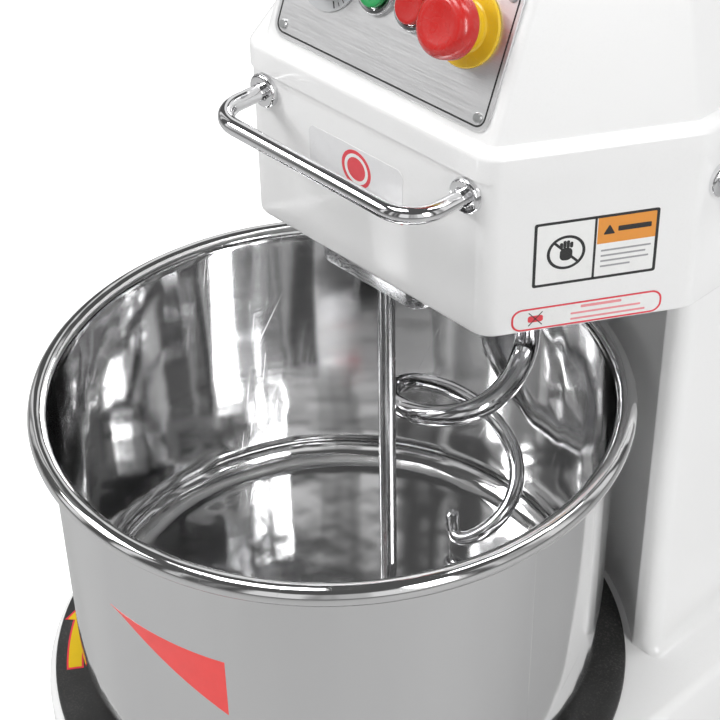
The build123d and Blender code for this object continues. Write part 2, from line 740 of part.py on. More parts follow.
# ---- main shaft, sprockets and chains ----
with BuildPart() as main_shaft:
    with BuildSketch(at(0, main_y, lower_chain_z - 20)):
        Circle(main_r)
    extrude(amount=upper_chain_z + 16 - lower_chain_z + 20)
    chamfer(main_shaft.edges().filter_by(GeomType.CIRCLE), 1.5)
write(main_shaft, "main_shaft")

with BuildPart() as main_bearings:
    for flange_z in (bridge_z + plate_h, head_plate_z + head_plate_h):
        bearing(0, main_y, flange_z, main_r + running, 26, 15)
        with BuildSketch(at(0, main_y, flange_z)):
            with GridLocations(70, 0.1, 2, 1):
                Circle(11)
            Rectangle(70, 40)
            Circle(26, mode=Mode.SUBTRACT)
            with GridLocations(70, 0.1, 2, 1):
                Circle(4.3, mode=Mode.SUBTRACT)
        extrude(amount=10)
write(main_bearings, "main_shaft_bearings")


def pitch_r(teeth):
    return chain_pitch / (2 * sin(pi / teeth))


def sprocket(teeth, y, z, bore_r, hub_out, hub_len, holes=0):
    """Adds a chain wheel with a hub above it, on an axis behind the bowl's."""
    with BuildSketch(at(0, y, z - sprocket_w / 2)) as disc_plan:
        Circle(pitch_r(teeth) + 3.4)
        with PolarLocations(pitch_r(teeth), teeth):
            Circle(roller_r + 0.2, mode=Mode.SUBTRACT)
        if holes:
            with PolarLocations(pitch_r(teeth) * 0.6, holes):
                Circle(pitch_r(teeth) * 0.17, mode=Mode.SUBTRACT)
    extrude(disc_plan.sketch, amount=sprocket_w)
    for hub_radius, mode in ((hub_out, Mode.ADD), (bore_r, Mode.SUBTRACT)):
        with BuildSketch(at(0, y, z - sprocket_w / 2)) as hub_plan:
            Circle(hub_radius)
        extrude(hub_plan.sketch, amount=hub_len, mode=mode)


sprockets = {
    "bowl_sprocket": (bowl_teeth, 0, lower_chain_z, bowl_spindle_r, 32, 24, 6),
    "lower_drive_sprocket": (lower_teeth, main_y, lower_chain_z, main_r, 18, 24, 0),
    "upper_drive_sprocket": (upper_teeth, main_y, upper_chain_z, main_r, 24, 18, 0),
    "spiral_sprocket": (spiral_teeth, spiral_y, upper_chain_z, spindle_r, 20, 18, 0),
}
for name, values in sprockets.items():
    with BuildPart() as wheel:
        sprocket(*values)
    write(wheel, name)


def belt_outline(z, y_a, r_a, y_b, r_b):
    """The outline of a belt stretched round two circles behind the bowl's axis."""
    with BuildSketch(at(0, 0, z)) as outline:
        with Locations((0, y_a)):
            Circle(r_a)
        with Locations((0, y_b)):
            Circle(r_b)
        make_hull()
    return outline.sketch


def chain(z, y_a, teeth_a, y_b, teeth_b):
    """Adds a roller chain: link plates above and below all round, rollers on the free runs."""
    r_a, r_b, plate_half, plate_in, plate_out = pitch_r(teeth_a), pitch_r(teeth_b), 5, 4, 5.4
    for low in (z - plate_out, z + plate_in):
        extrude(belt_outline(low, y_a, r_a + plate_half, y_b, r_b + plate_half),
                amount=plate_out - plate_in)
        extrude(belt_outline(low, y_a, r_a - plate_half, y_b, r_b - plate_half),
                amount=plate_out - plate_in, mode=Mode.SUBTRACT)
    lean = asin((r_a - r_b) / (y_b - y_a))
    run = sqrt((y_b - y_a) ** 2 - (r_a - r_b) ** 2)
    clear_a = sqrt((r_a + 9) ** 2 - r_a ** 2)
    clear_b = sqrt((r_b + 9) ** 2 - r_b ** 2)
    for i in range(int((run - clear_a - clear_b) / chain_pitch) + 1):
        along = clear_a + i * chain_pitch
        x = r_a * cos(lean) - along * sin(lean)
        y = y_a + r_a * sin(lean) + along * cos(lean)
        with Locations((-x, bowl_y + y, z), (x, bowl_y + y, z)):
            Cylinder(roller_r, 2 * plate_out)


chains = {"lower_chain": (lower_chain_z, 0, bowl_teeth, main_y, lower_teeth),
          "upper_chain": (upper_chain_z, spiral_y, spiral_teeth, main_y, upper_teeth)}
for name, values in chains.items():
    with BuildPart() as loop:
        chain(*values)
    write(loop, name)

# ---- gearmotor and electrics ----
with BuildPart() as gearbox:
    with BuildSketch(at(0, gearbox_y, gearbox_z)):
        RectangleRounded(146, 233, 34)
    extrude(amount=gearbox_h)
    fillet(gearbox.faces().sort_by(Axis.Z)[-1].edges(), 6)
    with BuildSketch(at(0, gearbox_y, gearbox_z)):
        with GridLocations(190, foot_span, 2, 2):
            Circle(14)
        with GridLocations(1, foot_span, 1, 2):
            Rectangle(190, 28)
        with GridLocations(190, foot_span, 2, 2):
            Circle(5, mode=Mode.SUBTRACT)
    extrude(amount=12)
    with BuildSketch(at(0, main_y, gearbox_z)):
        Circle(24)
    extrude(amount=gearbox_h + 8)
    with BuildSketch(at(0, main_y, gearbox_z)):
        Circle(main_r + running)
    extrude(amount=gearbox_h + 8, mode=Mode.SUBTRACT)
write(gearbox, "gearbox")

with BuildPart() as gearbox_rails:
    for rail_y in (gearbox_y - foot_span / 2, gearbox_y + foot_span / 2):
        with BuildSketch(at(0, rail_y, gearbox_z - 10)):
            Rectangle(2 * 152, 44)
            with GridLocations(190, 1, 2, 1):
                Circle(5, mode=Mode.SUBTRACT)
            with Locations((0, main_y - rail_y)):
                Circle(main_r + 2, mode=Mode.SUBTRACT)
            with Locations(*[(x, y - rail_y) for x, y in post_places]):
                Rectangle(post_size, post_size, mode=Mode.SUBTRACT)
        extrude(amount=10)
write(gearbox_rails, "gearbox_rails")

with BuildPart() as drive_bolts:
    hex_screws(housing_holes, bridge_z + plate_h + 10, 18, 4.2, 7.5, 5.5)
    spindle_holes = [(54 * cos(radians(a)), spiral_y + 54 * sin(radians(a)))
                     for a in range(0, 360, 60)]
    hex_screws(spindle_holes, housing_z + 10, 10, 4.2, 7.5, 5.5)
    feet_holes = [(x, gearbox_y + y) for x in (-95, 95) for y in (-foot_span / 2, foot_span / 2)]
    hex_screws(feet_holes, gearbox_z + 12, 24, 4.9, 8.5, 6.5)
write(drive_bolts, "drive_bolts")

motor_z = gearbox_z + gearbox_h
with BuildPart() as motor:
    with BuildSketch(at(0, motor_y, motor_z)):
        Circle(motor_r + 8)
    extrude(amount=12)
    with BuildSketch(at(0, motor_y, motor_z + 12)):
        Circle(motor_r)
        with PolarLocations(motor_r + 2, 28):
            Rectangle(10, 2.4)
    extrude(amount=motor_h - 24)
    with BuildSketch(at(0, motor_y, motor_z + motor_h - 12)):
        Circle(motor_r + 8)
    extrude(amount=12)
write(motor, "motor")

with BuildPart() as cowl:
    with BuildSketch(at(0, motor_y, motor_z + motor_h)):
        Circle(motor_r + 8)
    extrude(amount=34)
    fillet(cowl.faces().sort_by(Axis.Z)[-1].edges(), 4)
    with BuildSketch(at(0, motor_y, motor_z + motor_h)):
        Circle(motor_r + 6)
    extrude(amount=31, mode=Mode.SUBTRACT)
    with BuildSketch(at(0, motor_y, motor_z + motor_h)):
        for ring_r in (14, 26, 38):
            with PolarLocations(ring_r, int(ring_r / 2)):
                Circle(3.4)
    extrude(amount=60, mode=Mode.SUBTRACT)
write(cowl, "motor_fan_cowl")

box_low, box_high = (-156, 235, 360), (-84, 415, 500)
box_size = [high - low for low, high in zip(box_low, box_high)]
box_mid = [(high + low) / 2 for low, high in zip(box_low, box_high)]
with BuildPart() as electrical_box:
    with BuildSketch(at(box_mid[0], box_mid[1], box_low[2])):
        Rectangle(box_size[0], box_size[1])
    extrude(amount=box_size[2])
    with BuildSketch(at(box_mid[0] + 3, box_mid[1], box_low[2] + 2)):
        Rectangle(box_size[0], box_size[1] - 4)
    extrude(amount=box_size[2] - 4, mode=Mode.SUBTRACT)
write(electrical_box, "electrical_box")

with BuildPart() as box_lid:
    with BuildSketch(at(box_high[0] + 1.2, box_mid[1], box_low[2] - 2)):
        Rectangle(2.4, box_size[1] + 4)
    extrude(amount=box_size[2] + 4)
write(box_lid, "electrical_box_lid")
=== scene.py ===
# Looks of a spiral dough mixer: white painted body and head, polished steel bowl, spiral hook and
# breaker bar, chrome handles and a sloped control panel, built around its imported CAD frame.
import math

import bmesh
import bpy
import numpy as np
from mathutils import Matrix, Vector


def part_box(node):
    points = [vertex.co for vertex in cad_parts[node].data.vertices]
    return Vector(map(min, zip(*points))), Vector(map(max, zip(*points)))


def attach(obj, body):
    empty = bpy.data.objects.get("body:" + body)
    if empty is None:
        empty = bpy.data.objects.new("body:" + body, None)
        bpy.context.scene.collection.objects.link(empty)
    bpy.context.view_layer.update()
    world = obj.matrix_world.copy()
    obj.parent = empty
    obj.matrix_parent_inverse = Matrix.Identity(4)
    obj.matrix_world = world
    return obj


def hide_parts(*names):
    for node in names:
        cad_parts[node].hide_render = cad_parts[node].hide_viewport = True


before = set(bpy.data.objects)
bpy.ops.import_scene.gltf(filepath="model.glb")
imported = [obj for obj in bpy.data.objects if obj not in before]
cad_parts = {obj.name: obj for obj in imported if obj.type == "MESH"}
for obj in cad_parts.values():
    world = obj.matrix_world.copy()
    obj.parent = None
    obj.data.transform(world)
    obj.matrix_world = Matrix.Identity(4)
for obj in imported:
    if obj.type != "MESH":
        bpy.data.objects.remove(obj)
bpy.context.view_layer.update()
print("frame loaded:", len(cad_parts), "nodes")


def boxOf(node):
    low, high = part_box(node)
    return np.array(low), np.array(high)


# main places, read from the frame
bowlLow, bowlHigh = boxOf("bowl")
axisX, axisY = (bowlLow[:2] + bowlHigh[:2]) / 2          # the bowl's axis
columnLow, columnHigh = boxOf("column_shell")
plinthLow, plinthHigh = boxOf("plinth_shell")
headLow, headHigh = boxOf("head_lower_shell")
capLow, capHigh = boxOf("head_top_cover")
hubLow, hubHigh = boxOf("spiral_hub")
spindleY = (hubLow[1] + hubHigh[1]) / 2                   # the spiral's axis
bodyRear = plinthHigh[1] - axisY                          # back of the body, from the bowl's axis


# ---- mesh helpers ----

def surface(name, grid, loopU=False, loopV=True, sharp=32):
    # quads between the rows and columns of a grid of points, welded where rows close to a pole
    rows, columns = grid.shape[:2]
    index = np.arange(rows * columns).reshape(rows, columns)
    if loopU:
        index = np.vstack([index, index[:1]])
    if loopV:
        index = np.hstack([index, index[:, :1]])
    quads = np.stack([index[:-1, :-1], index[1:, :-1], index[1:, 1:], index[:-1, 1:]], axis=-1)
    mesh = bpy.data.meshes.new(name)
    mesh.from_pydata(grid.reshape(-1, 3).tolist(), [], quads.reshape(-1, 4).tolist())
    return tidyMesh(mesh, sharp)


def tidyMesh(mesh, sharp=32):
    # welds doubles, turns the faces outwards by the sign of the volume, and shades smooth
    work = bmesh.new()
    work.from_mesh(mesh)
    bmesh.ops.remove_doubles(work, verts=work.verts, dist=2e-7)
    if work.calc_volume(signed=True) < 0:
        bmesh.ops.reverse_faces(work, faces=work.faces)
    work.to_mesh(mesh)
    work.free()
    mesh.polygons.foreach_set("use_smooth", np.ones(len(mesh.polygons), dtype=bool))
    mesh.set_sharp_from_angle(angle=math.radians(sharp))
    mesh.update()
    return mesh


def place(mesh, material, body="body", stands=()):
    # a finished piece: its object at the origin, riding its body and standing for its CAD nodes
    piece = bpy.data.objects.new(mesh.name, mesh)
    bpy.context.scene.collection.objects.link(piece)
    mesh.materials.append(material)
    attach(piece, body)
    if stands:
        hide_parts(*stands)
    return piece


def joined(name, meshes, sharp=32):
    # several meshes as one
    work = bmesh.new()
    for mesh in meshes:
        work.from_mesh(mesh)
        bpy.data.meshes.remove(mesh)
    whole = bpy.data.meshes.new(name)
    work.to_mesh(whole)
    work.free()
    whole.polygons.foreach_set("use_smooth", np.ones(len(whole.polygons), dtype=bool))
    whole.set_sharp_from_angle(angle=math.radians(sharp))
    return whole


def arc(centre, radius, start, end, count):
    # points on an arc, from one angle in degrees to another
    turn = np.radians(np.linspace(start, end, count))
    return np.stack([centre[0] + radius * np.cos(turn), centre[1] + radius * np.sin(turn)], axis=1)


def spread(a, b, count):
    # evenly spaced points from one to another, both included
    return np.linspace(np.array(a, float), np.array(b, float), count)


def unit(directions):
    directions = np.asarray(directions, float)
    return directions / np.linalg.norm(directions, axis=-1, keepdims=True)


def turned(name, profile, origin, axis, around=64, loopU=False, sharp=32, ripple=None):
    # a profile of (radius, height) turned about an axis; ripple scales the radius with the angle
    profile = np.asarray(profile, float)
    axis = unit(axis)
    side = unit(np.cross(axis, (0, 0, 1) if abs(axis[2]) < 0.9 else (1, 0, 0)))
    across = np.cross(axis, side)
    angle = np.linspace(0, 2 * np.pi, around, endpoint=False)
    spokes = np.cos(angle)[:, None] * side + np.sin(angle)[:, None] * across
    radius = profile[:, 0][:, None] * np.ones(around)
    if ripple is not None:
        radius = radius * ripple(angle, profile[:, 1])
    grid = (np.asarray(origin, float) + radius[:, :, None] * spokes[None]
            + profile[:, 1][:, None, None] * axis)
    return surface(name, grid, loopU=loopU, sharp=sharp)


def tube(name, path, radii, hint, around=32, rounded=False, sharp=40):
    # circles across a path; hint is the direction, for each point, that the circles start from
    path = np.asarray(path, float)
    radii = np.broadcast_to(np.asarray(radii, float), (len(path),))
    heading = unit(np.gradient(path, axis=0))
    side = np.broadcast_to(np.asarray(hint, float), path.shape)
    side = unit(side - np.sum(side * heading, axis=1, keepdims=True) * heading)
    across = np.cross(heading, side)
    angle = np.linspace(0, 2 * np.pi, around, endpoint=False)
    circle = (np.cos(angle)[None, :, None] * side[:, None] + np.sin(angle)[None, :, None]
              * across[:, None])
    grid = path[:, None] + radii[:, None, None] * circle
    tipRows = []
    if rounded:
        for turn in np.radians([25, 50, 72]):
            tipRows.append(path[-1] + heading[-1] * radii[-1] * np.sin(turn)
                           + radii[-1] * np.cos(turn) * circle[-1])
        tipRows.append(np.repeat((path[-1] + heading[-1] * radii[-1])[None], around, axis=0))
    else:
        tipRows.append(np.repeat(path[-1][None], around, axis=0))
    start = np.repeat(path[:1], around, axis=0)
    grid = np.concatenate([start[None], grid, np.stack(tipRows)])
    return surface(name, grid, sharp=sharp)


def outlineOf(corners, radii, inset=0.0, perCorner=9):
    # a polygon, anticlockwise, with each side moved inwards by its inset and each corner rounded
    corners = np.asarray(corners, float)
    along = unit(np.roll(corners, -1, axis=0) - corners)
    inward = np.stack([-along[:, 1], along[:, 0]], axis=1)
    inset = np.broadcast_to(np.asarray(inset, float), (len(corners),))
    offset = np.sum(corners * inward, axis=1) + inset
    before, offsetBefore = np.roll(inward, 1, axis=0), np.roll(offset, 1)
    cross = before[:, 0] * inward[:, 1] - before[:, 1] * inward[:, 0]
    moved = np.stack([(offsetBefore * inward[:, 1] - offset * before[:, 1]) / cross,
                      (before[:, 0] * offset - inward[:, 0] * offsetBefore) / cross], axis=1)
    radii = np.maximum(np.broadcast_to(np.asarray(radii, float), (len(corners),)), 1e-6)
    dot = np.sum(before * inward, axis=1)
    centre = moved + (before + inward) / (1 + dot)[:, None] * radii[:, None]
    first = np.arctan2(-before[:, 1], -before[:, 0])
    turn = np.arctan2(cross, dot)
    angle = first[:, None] + turn[:, None] * np.linspace(0, 1, perCorner)
    rim = np.stack([np.cos(angle), np.sin(angle)], axis=-1) * radii[:, None, None]
    return (centre[:, None] + rim).reshape(-1, 2)


def stacked(name, levels, loopU=False, sharp=32):
    # outlines of equally many points, each at its own height, joined into one skin
    grid = np.stack([np.column_stack([points, np.full(len(points), height)])
                     for points, height in levels])
    grid = grid + np.array([axisX, axisY, 0])
    return surface(name, grid, loopU=loopU, sharp=sharp)


def laid(rows, origin, right, up):
    # flat outlines, each at its own height above the plane through origin
    right, up = unit(right), unit(up)
    out = np.cross(right, up)
    return np.stack([np.asarray(origin, float) + flat[:, :1] * right + flat[:, 1:] * up + height
                     * out
                     for flat, height in rows])


def rounding(radius, *degrees):
    # inset and drop along a rounded edge, by the angle from its side
    turn = np.radians(degrees)
    return list(zip(radius * (1 - np.cos(turn)), radius * (1 - np.sin(turn))))


def prism(name, outline, origin, right, up, low, high):
    # a flat plate: an outline round its middle, between two heights
    outline = np.asarray(outline, float)
    middle = np.repeat(outline.mean(axis=0)[None], len(outline), axis=0)
    rows = [(middle, high), (outline, high), (outline, low), (middle, low)]
    return surface(name, laid(rows, origin, right, up))


def rimPlate(name, outer, inner, origin, right, up, low, high):
    # a flat frame between two outlines of equally many points
    rows = [(outer, high), (inner, high), (inner, low), (outer, low)]
    return surface(name, laid(rows, origin, right, up), loopU=True)


def capped(name, grid):
    # rings of points along a path, closed at both ends
    ends = [np.repeat(grid[i].mean(axis=0)[None], grid.shape[1], axis=0)[None] for i in (0, -1)]
    return surface(name, np.concatenate([ends[0], grid, ends[1]]))


# ---- shader groups, shared by the finishes ----

def startGroup(name, inputs, outputs):
    group = bpy.data.node_groups.new(name, "ShaderNodeTree")
    for label, kind, value in inputs:
        socket = group.interface.new_socket(name=label, in_out="INPUT", socket_type=kind)
        if value is not None:
            socket.default_value = value
    for label, kind in outputs:
        group.interface.new_socket(name=label, in_out="OUTPUT", socket_type=kind)
    return group, group.nodes.new("NodeGroupInput"), group.nodes.new("NodeGroupOutput")


def feed(tree, source, target):
    # puts a number, a colour or another node's output into a socket
    if hasattr(source, "is_output"):
        tree.links.new(source, target)
    else:
        target.default_value = source


def sums(tree, operation, *values):
    node = tree.nodes.new("ShaderNodeMath")
    node.operation = operation
    for socket, value in zip(node.inputs, values):
        feed(tree, value, socket)
    return node.outputs[0]


def vectors(tree, operation, a, b=None, scale=None):
    node = tree.nodes.new("ShaderNodeVectorMath")
    node.operation = operation
    feed(tree, a, node.inputs[0])
    if b is not None:
        feed(tree, b, node.inputs[1])
    if scale is not None:
        feed(tree, scale, node.inputs["Scale"])
    return node.outputs["Value" if operation in ("LENGTH", "DOT_PRODUCT") else "Vector"]


def noise(tree, vector, scale, detail=2.0, roughness=0.5, distortion=0.0):
    node = tree.nodes.new("ShaderNodeTexNoise")
    feed(tree, vector, node.inputs["Vector"])
    for label, value in (("Scale", scale), ("Detail", detail), ("Roughness", roughness),
                         ("Distortion", distortion)):
        feed(tree, value, node.inputs[label])
    return node.outputs["Fac"]


def remap(tree, value, fromLow, fromHigh, toLow=0.0, toHigh=1.0):
    node = tree.nodes.new("ShaderNodeMapRange")
    for label, amount in (("Value", value), ("From Min", fromLow), ("From Max", fromHigh),
                          ("To Min", toLow), ("To Max", toHigh)):
        feed(tree, amount, node.inputs[label])
    return node.outputs["Result"]


def flattened(tree, vector):
    # a vector's parts, and the same vector without its height
    split = tree.nodes.new("ShaderNodeSeparateXYZ")
    feed(tree, vector, split.inputs[0])
    flat = tree.nodes.new("ShaderNodeCombineXYZ")
    for label in "XY":
        feed(tree, split.outputs[label], flat.inputs[label])
    return split, flat.outputs[0]


def buildTurnedMarks():
    # fine rings about an upright axis: noise read by distance from the axis and by height
    group, given, result = startGroup(
        "turnedMarks", [("Vector", "NodeSocketVector", None),
                        ("Fineness", "NodeSocketFloat", 900.0),
                        ("Wobble", "NodeSocketFloat", 0.4)],
        [("Height", "NodeSocketFloat"), ("Mask", "NodeSocketFloat")])
    split, flat = flattened(group, given.outputs["Vector"])
    reach = vectors(group, "LENGTH", flat)
    heading = vectors(group, "NORMALIZE", flat)
    rings = group.nodes.new("ShaderNodeCombineXYZ")
    feed(group, sums(group, "MULTIPLY", reach, given.outputs["Fineness"]), rings.inputs["X"])
    feed(group, sums(group, "MULTIPLY", split.outputs["Z"], given.outputs["Fineness"]),
         rings.inputs["Y"])
    wander = vectors(group, "SCALE", heading, scale=given.outputs["Wobble"])
    where = vectors(group, "ADD", rings.outputs[0], wander)
    marks = noise(group, where, 1.0, 3.0, 0.6)
    feed(group, marks, result.inputs["Height"])
    feed(group, remap(group, marks, 0.52, 0.72), result.inputs["Mask"])
    return group


def buildFormedWaves():
    # broad upright waves left by forming the sheet: slow noise that hardly changes with height
    group, given, result = startGroup(
        "formedWaves", [("Vector", "NodeSocketVector", None), ("Count", "NodeSocketFloat", 18.0),
                        ("Rise", "NodeSocketFloat", 6.0)], [("Height", "NodeSocketFloat")])
    split, flat = flattened(group, given.outputs["Vector"])
    across = vectors(group, "SCALE", flat, scale=given.outputs["Count"])
    lift = group.nodes.new("ShaderNodeCombineXYZ")
    feed(group, sums(group, "MULTIPLY", split.outputs["Z"], given.outputs["Rise"]),
         lift.inputs["Z"])
    feed(group, noise(group, vectors(group, "ADD", across, lift.outputs[0]), 1.0, 2.0, 0.45),
         result.inputs["Height"])
    return group


def buildFineDust():
    # specks and faint cloudy patches
    group, given, result = startGroup(
        "fineDust", [("Vector", "NodeSocketVector", None), ("Size", "NodeSocketFloat", 700.0),
                     ("Amount", "NodeSocketFloat", 0.5)], [("Mask", "NodeSocketFloat")])
    specks = remap(group, noise(group, given.outputs["Vector"], given.outputs["Size"], 4.0, 0.7),
                   0.5, 0.78)
    patches = remap(group, noise(group, given.outputs["Vector"], 11.0, 3.0, 0.6), 0.35, 0.75)
    feed(group, sums(group, "MULTIPLY", sums(group, "MULTIPLY", specks, patches),
                     given.outputs["Amount"]), result.inputs["Mask"])
    return group


def buildHairScratches():
    # sparse fine scratches in two directions: stretched noise, cut at a threshold
    group, given, result = startGroup(
        "hairScratches", [("Vector", "NodeSocketVector", None),
                          ("Length", "NodeSocketFloat", 14.0),
                          ("Fineness", "NodeSocketFloat", 900.0)],
        [("Mask", "NodeSocketFloat"), ("Height", "NodeSocketFloat")])
    found = None
    for turn, squeeze in ((0.5, 1.0), (-0.9, 0.8)):
        swing = group.nodes.new("ShaderNodeVectorRotate")
        swing.rotation_type = "EULER_XYZ"
        feed(group, given.outputs["Vector"], swing.inputs["Vector"])
        swing.inputs["Rotation"].default_value = (turn, turn * 0.6, turn * 1.7)
        split = group.nodes.new("ShaderNodeSeparateXYZ")
        feed(group, swing.outputs[0], split.inputs[0])
        stretch = group.nodes.new("ShaderNodeCombineXYZ")
        for label, amount in (("X", "Length"), ("Y", "Fineness"), ("Z", "Length")):
            feed(group, sums(group, "MULTIPLY", split.outputs[label], given.outputs[amount]),
                 stretch.inputs[label])
        line = remap(group, noise(group, stretch.outputs[0], squeeze, 1.0, 0.5), 0.74, 0.8)
        found = line if found is None else sums(group, "MAXIMUM", found, line)
    feed(group, found, result.inputs["Mask"])
    feed(group, sums(group, "MULTIPLY", found, -1.0), result.inputs["Height"])
    return group


def buildPaintPeel():
    # the fine dimpled skin of sprayed and baked paint, on a slower swell of the sheet under it
    group, given, result = startGroup(
        "paintPeel", [("Vector", "NodeSocketVector", None), ("Size", "NodeSocketFloat", 420.0)],
        [("Height", "NodeSocketFloat"), ("Tone", "NodeSocketFloat")])
    dimples = noise(group, given.outputs["Vector"], given.outputs["Size"], 2.0, 0.5)
    swell = noise(group, given.outputs["Vector"], 9.0, 1.0, 0.4)
    feed(group, sums(group, "ADD", dimples, sums(group, "MULTIPLY", swell, 6.0)),
         result.inputs["Height"])
    feed(group, swell, result.inputs["Tone"])
    return group


turnedMarks = buildTurnedMarks()
formedWaves = buildFormedWaves()
fineDust = buildFineDust()
hairScratches = buildHairScratches()
paintPeel = buildPaintPeel()


# ---- finishes ----

def startFinish(name, constants):
    # a material with its shader; constants go on the shader's own sockets
    material = bpy.data.materials.new(name)
    material.use_nodes = True
    tree = material.node_tree
    tree.nodes.clear()
    shader = tree.nodes.new("ShaderNodeBsdfPrincipled")
    output = tree.nodes.new("ShaderNodeOutputMaterial")
    tree.links.new(shader.outputs[0], output.inputs["Surface"])
    for label, value in constants.items():
        shader.inputs[label].default_value = value
    return material, tree, shader


def objectPoint(tree, offset=(0, 0, 0), scale=(1, 1, 1)):
    # Object coordinates, moved so that a pattern turns about a chosen axis
    coords = tree.nodes.new("ShaderNodeTexCoord")
    mapping = tree.nodes.new("ShaderNodeMapping")
    tree.links.new(coords.outputs["Object"], mapping.inputs["Vector"])
    mapping.inputs["Location"].default_value = offset
    mapping.inputs["Scale"].default_value = scale
    return mapping.outputs[0]


def use(tree, group, vector, **values):
    node = tree.nodes.new("ShaderNodeGroup")
    node.node_tree = group
    tree.links.new(vector, node.inputs["Vector"])
    for label, value in values.items():
        node.inputs[label].default_value = value
    return node


def blended(tree, share, a, b):
    node = tree.nodes.new("ShaderNodeMix")
    node.data_type = "RGBA"
    feed(tree, share, node.inputs[0])
    feed(tree, a, node.inputs[6])
    feed(tree, b, node.inputs[7])
    return node.outputs[2]


def bumped(tree, shader, layers):
    # height maps laid over each other; each is (height, distance in metres, strength)
    last = None
    for height, distance, strength in layers:
        bump = tree.nodes.new("ShaderNodeBump")
        feed(tree, height, bump.inputs["Height"])
        bump.inputs["Distance"].default_value = distance
        bump.inputs["Strength"].default_value = strength
        if last is not None:
            tree.links.new(last, bump.inputs["Normal"])
        last = bump.outputs[0]
    tree.links.new(last, shader.inputs["Normal"])


def rgb(red, green, blue):
    return (red, green, blue, 1.0)


def coloured(tree, shader, look, share, dust, dirt=None):
    # two tones blended by a pattern, under dust
    tone = blended(tree, share, look["colour"], look["shade"])
    tone = blended(tree, dust.outputs["Mask"], tone, look.get("dirt", dirt))
    tree.links.new(tone, shader.inputs["Base Color"])


def roughened(tree, shader, base, scratch, amount):
    # a base roughness, raised along the scratches
    extra = sums(tree, "MULTIPLY", scratch.outputs["Mask"], amount)
    tree.links.new(sums(tree, "ADD", base, extra), shader.inputs["Roughness"])


def paintFinish(name, look):
    # sprayed paint under a thin clear coat
    material, tree, shader = startFinish(name,
                                         {"Coat Weight": look["coat"], "Coat Roughness": 0.09,
                                                "IOR": 1.5})
    point = objectPoint(tree)
    peel = use(tree, paintPeel, point)
    dust = use(tree, fineDust, point, Amount=look["dust"])
    scratch = use(tree, hairScratches, point)
    coloured(tree, shader, look, peel.outputs["Tone"], dust)
    rough = remap(tree, peel.outputs["Tone"], 0.3, 0.7, look["rough"] - 0.03, look["rough"] + 0.04)
    roughened(tree, shader, rough, scratch, 0.1)
    bumped(tree, shader, [(peel.outputs["Height"], 0.0002, look.get("bump", 0.14)),
                          (scratch.outputs["Height"], 0.00004, 0.2)])
    return material


def steelFinish(name, look):
    # metal with rings about an axis, forming waves, scratches and a film of dust
    material, tree, shader = startFinish(name, {"Metallic": 1.0, "IOR": 2.5})
    point = objectPoint(tree, offset=look.get("centre", (0, 0, 0)))
    marks = use(tree, turnedMarks, point, Fineness=look["fineness"])
    waves = use(tree, formedWaves, point, Count=look.get("waves", 18.0),
                Rise=look.get("rise", 6.0))
    dust = use(tree, fineDust, point, Amount=look.get("dust", 0.3))
    scratch = use(tree, hairScratches, point, Fineness=1100.0)
    coloured(tree, shader, look, waves.outputs["Height"], dust, rgb(0.5, 0.49, 0.47))
    rough = remap(tree, marks.outputs["Height"], 0.3, 0.7, *look["rough"])
    rough = sums(tree, "ADD", rough, sums(tree, "MULTIPLY", dust.outputs["Mask"], 0.2))
    roughened(tree, shader, rough, scratch, 0.15)
    bumped(tree, shader, [(waves.outputs["Height"], look.get("waveDepth", 0.0006),
                           look.get("waveBump", 0.25)),
                          (marks.outputs["Height"], 0.00002, look.get("markBump", 0.25)),
                          (scratch.outputs["Height"], 0.00003, 0.25)])
    return material


def drawnFinish(name, look):
    # metal brushed or drawn along one direction: noise squeezed across the grain
    material, tree, shader = startFinish(name, {"Metallic": 1.0, "IOR": 2.5})
    grainPoint = objectPoint(tree, scale=look["grain"])
    point = objectPoint(tree)
    grain = noise(tree, grainPoint, 1.0, 3.0, 0.6)
    dust = use(tree, fineDust, point, Amount=look.get("dust", 0.35))
    scratch = use(tree, hairScratches, point)
    coloured(tree, shader, look, grain, dust, rgb(0.42, 0.41, 0.4))
    roughened(tree, shader, remap(tree, grain, 0.3, 0.7, *look["rough"]), scratch, 0.12)
    bumped(tree, shader, [(grain, 0.00003, 0.35),
                          (scratch.outputs["Height"], 0.00003, 0.3)])
    return material


def castFinish(name, look):
    # a cast, oxidised or moulded skin: pits and mottling
    material, tree, shader = startFinish(name, {"Metallic": look.get("metallic", 0.0),
                                                "IOR": look.get("ior", 1.5),
                                                "Coat Weight": look.get("coat", 0.0),
                                                "Coat Roughness": 0.15})
    point = objectPoint(tree)
    grit = noise(tree, point, look.get("grit", 900.0), 4.0, 0.65)
    mottle = noise(tree, point, look.get("mottle", 40.0), 3.0, 0.6)
    dust = use(tree, fineDust, point, Amount=look.get("dust", 0.5))
    scratch = use(tree, hairScratches, point)
    coloured(tree, shader, look, mottle, dust, rgb(0.35, 0.33, 0.3))
    roughened(tree, shader, remap(tree, mottle, 0.3, 0.7, *look["rough"]), scratch, 0.12)
    bumped(tree, shader, [(grit, 0.00015, look["bump"]),
                          (scratch.outputs["Height"], 0.00003, 0.2)])
    return material


aboutBowl = (-axisX, -axisY, 0.0)
aboutSpiral = (-axisX, -spindleY, 0.0)

innerPaint = {"dirt": rgb(0.3, 0.28, 0.25), "bump": 0.3}
glossMoulded = {"grit": 1800.0, "bump": 0.12, "dust": 0.3, "coat": 0.4}

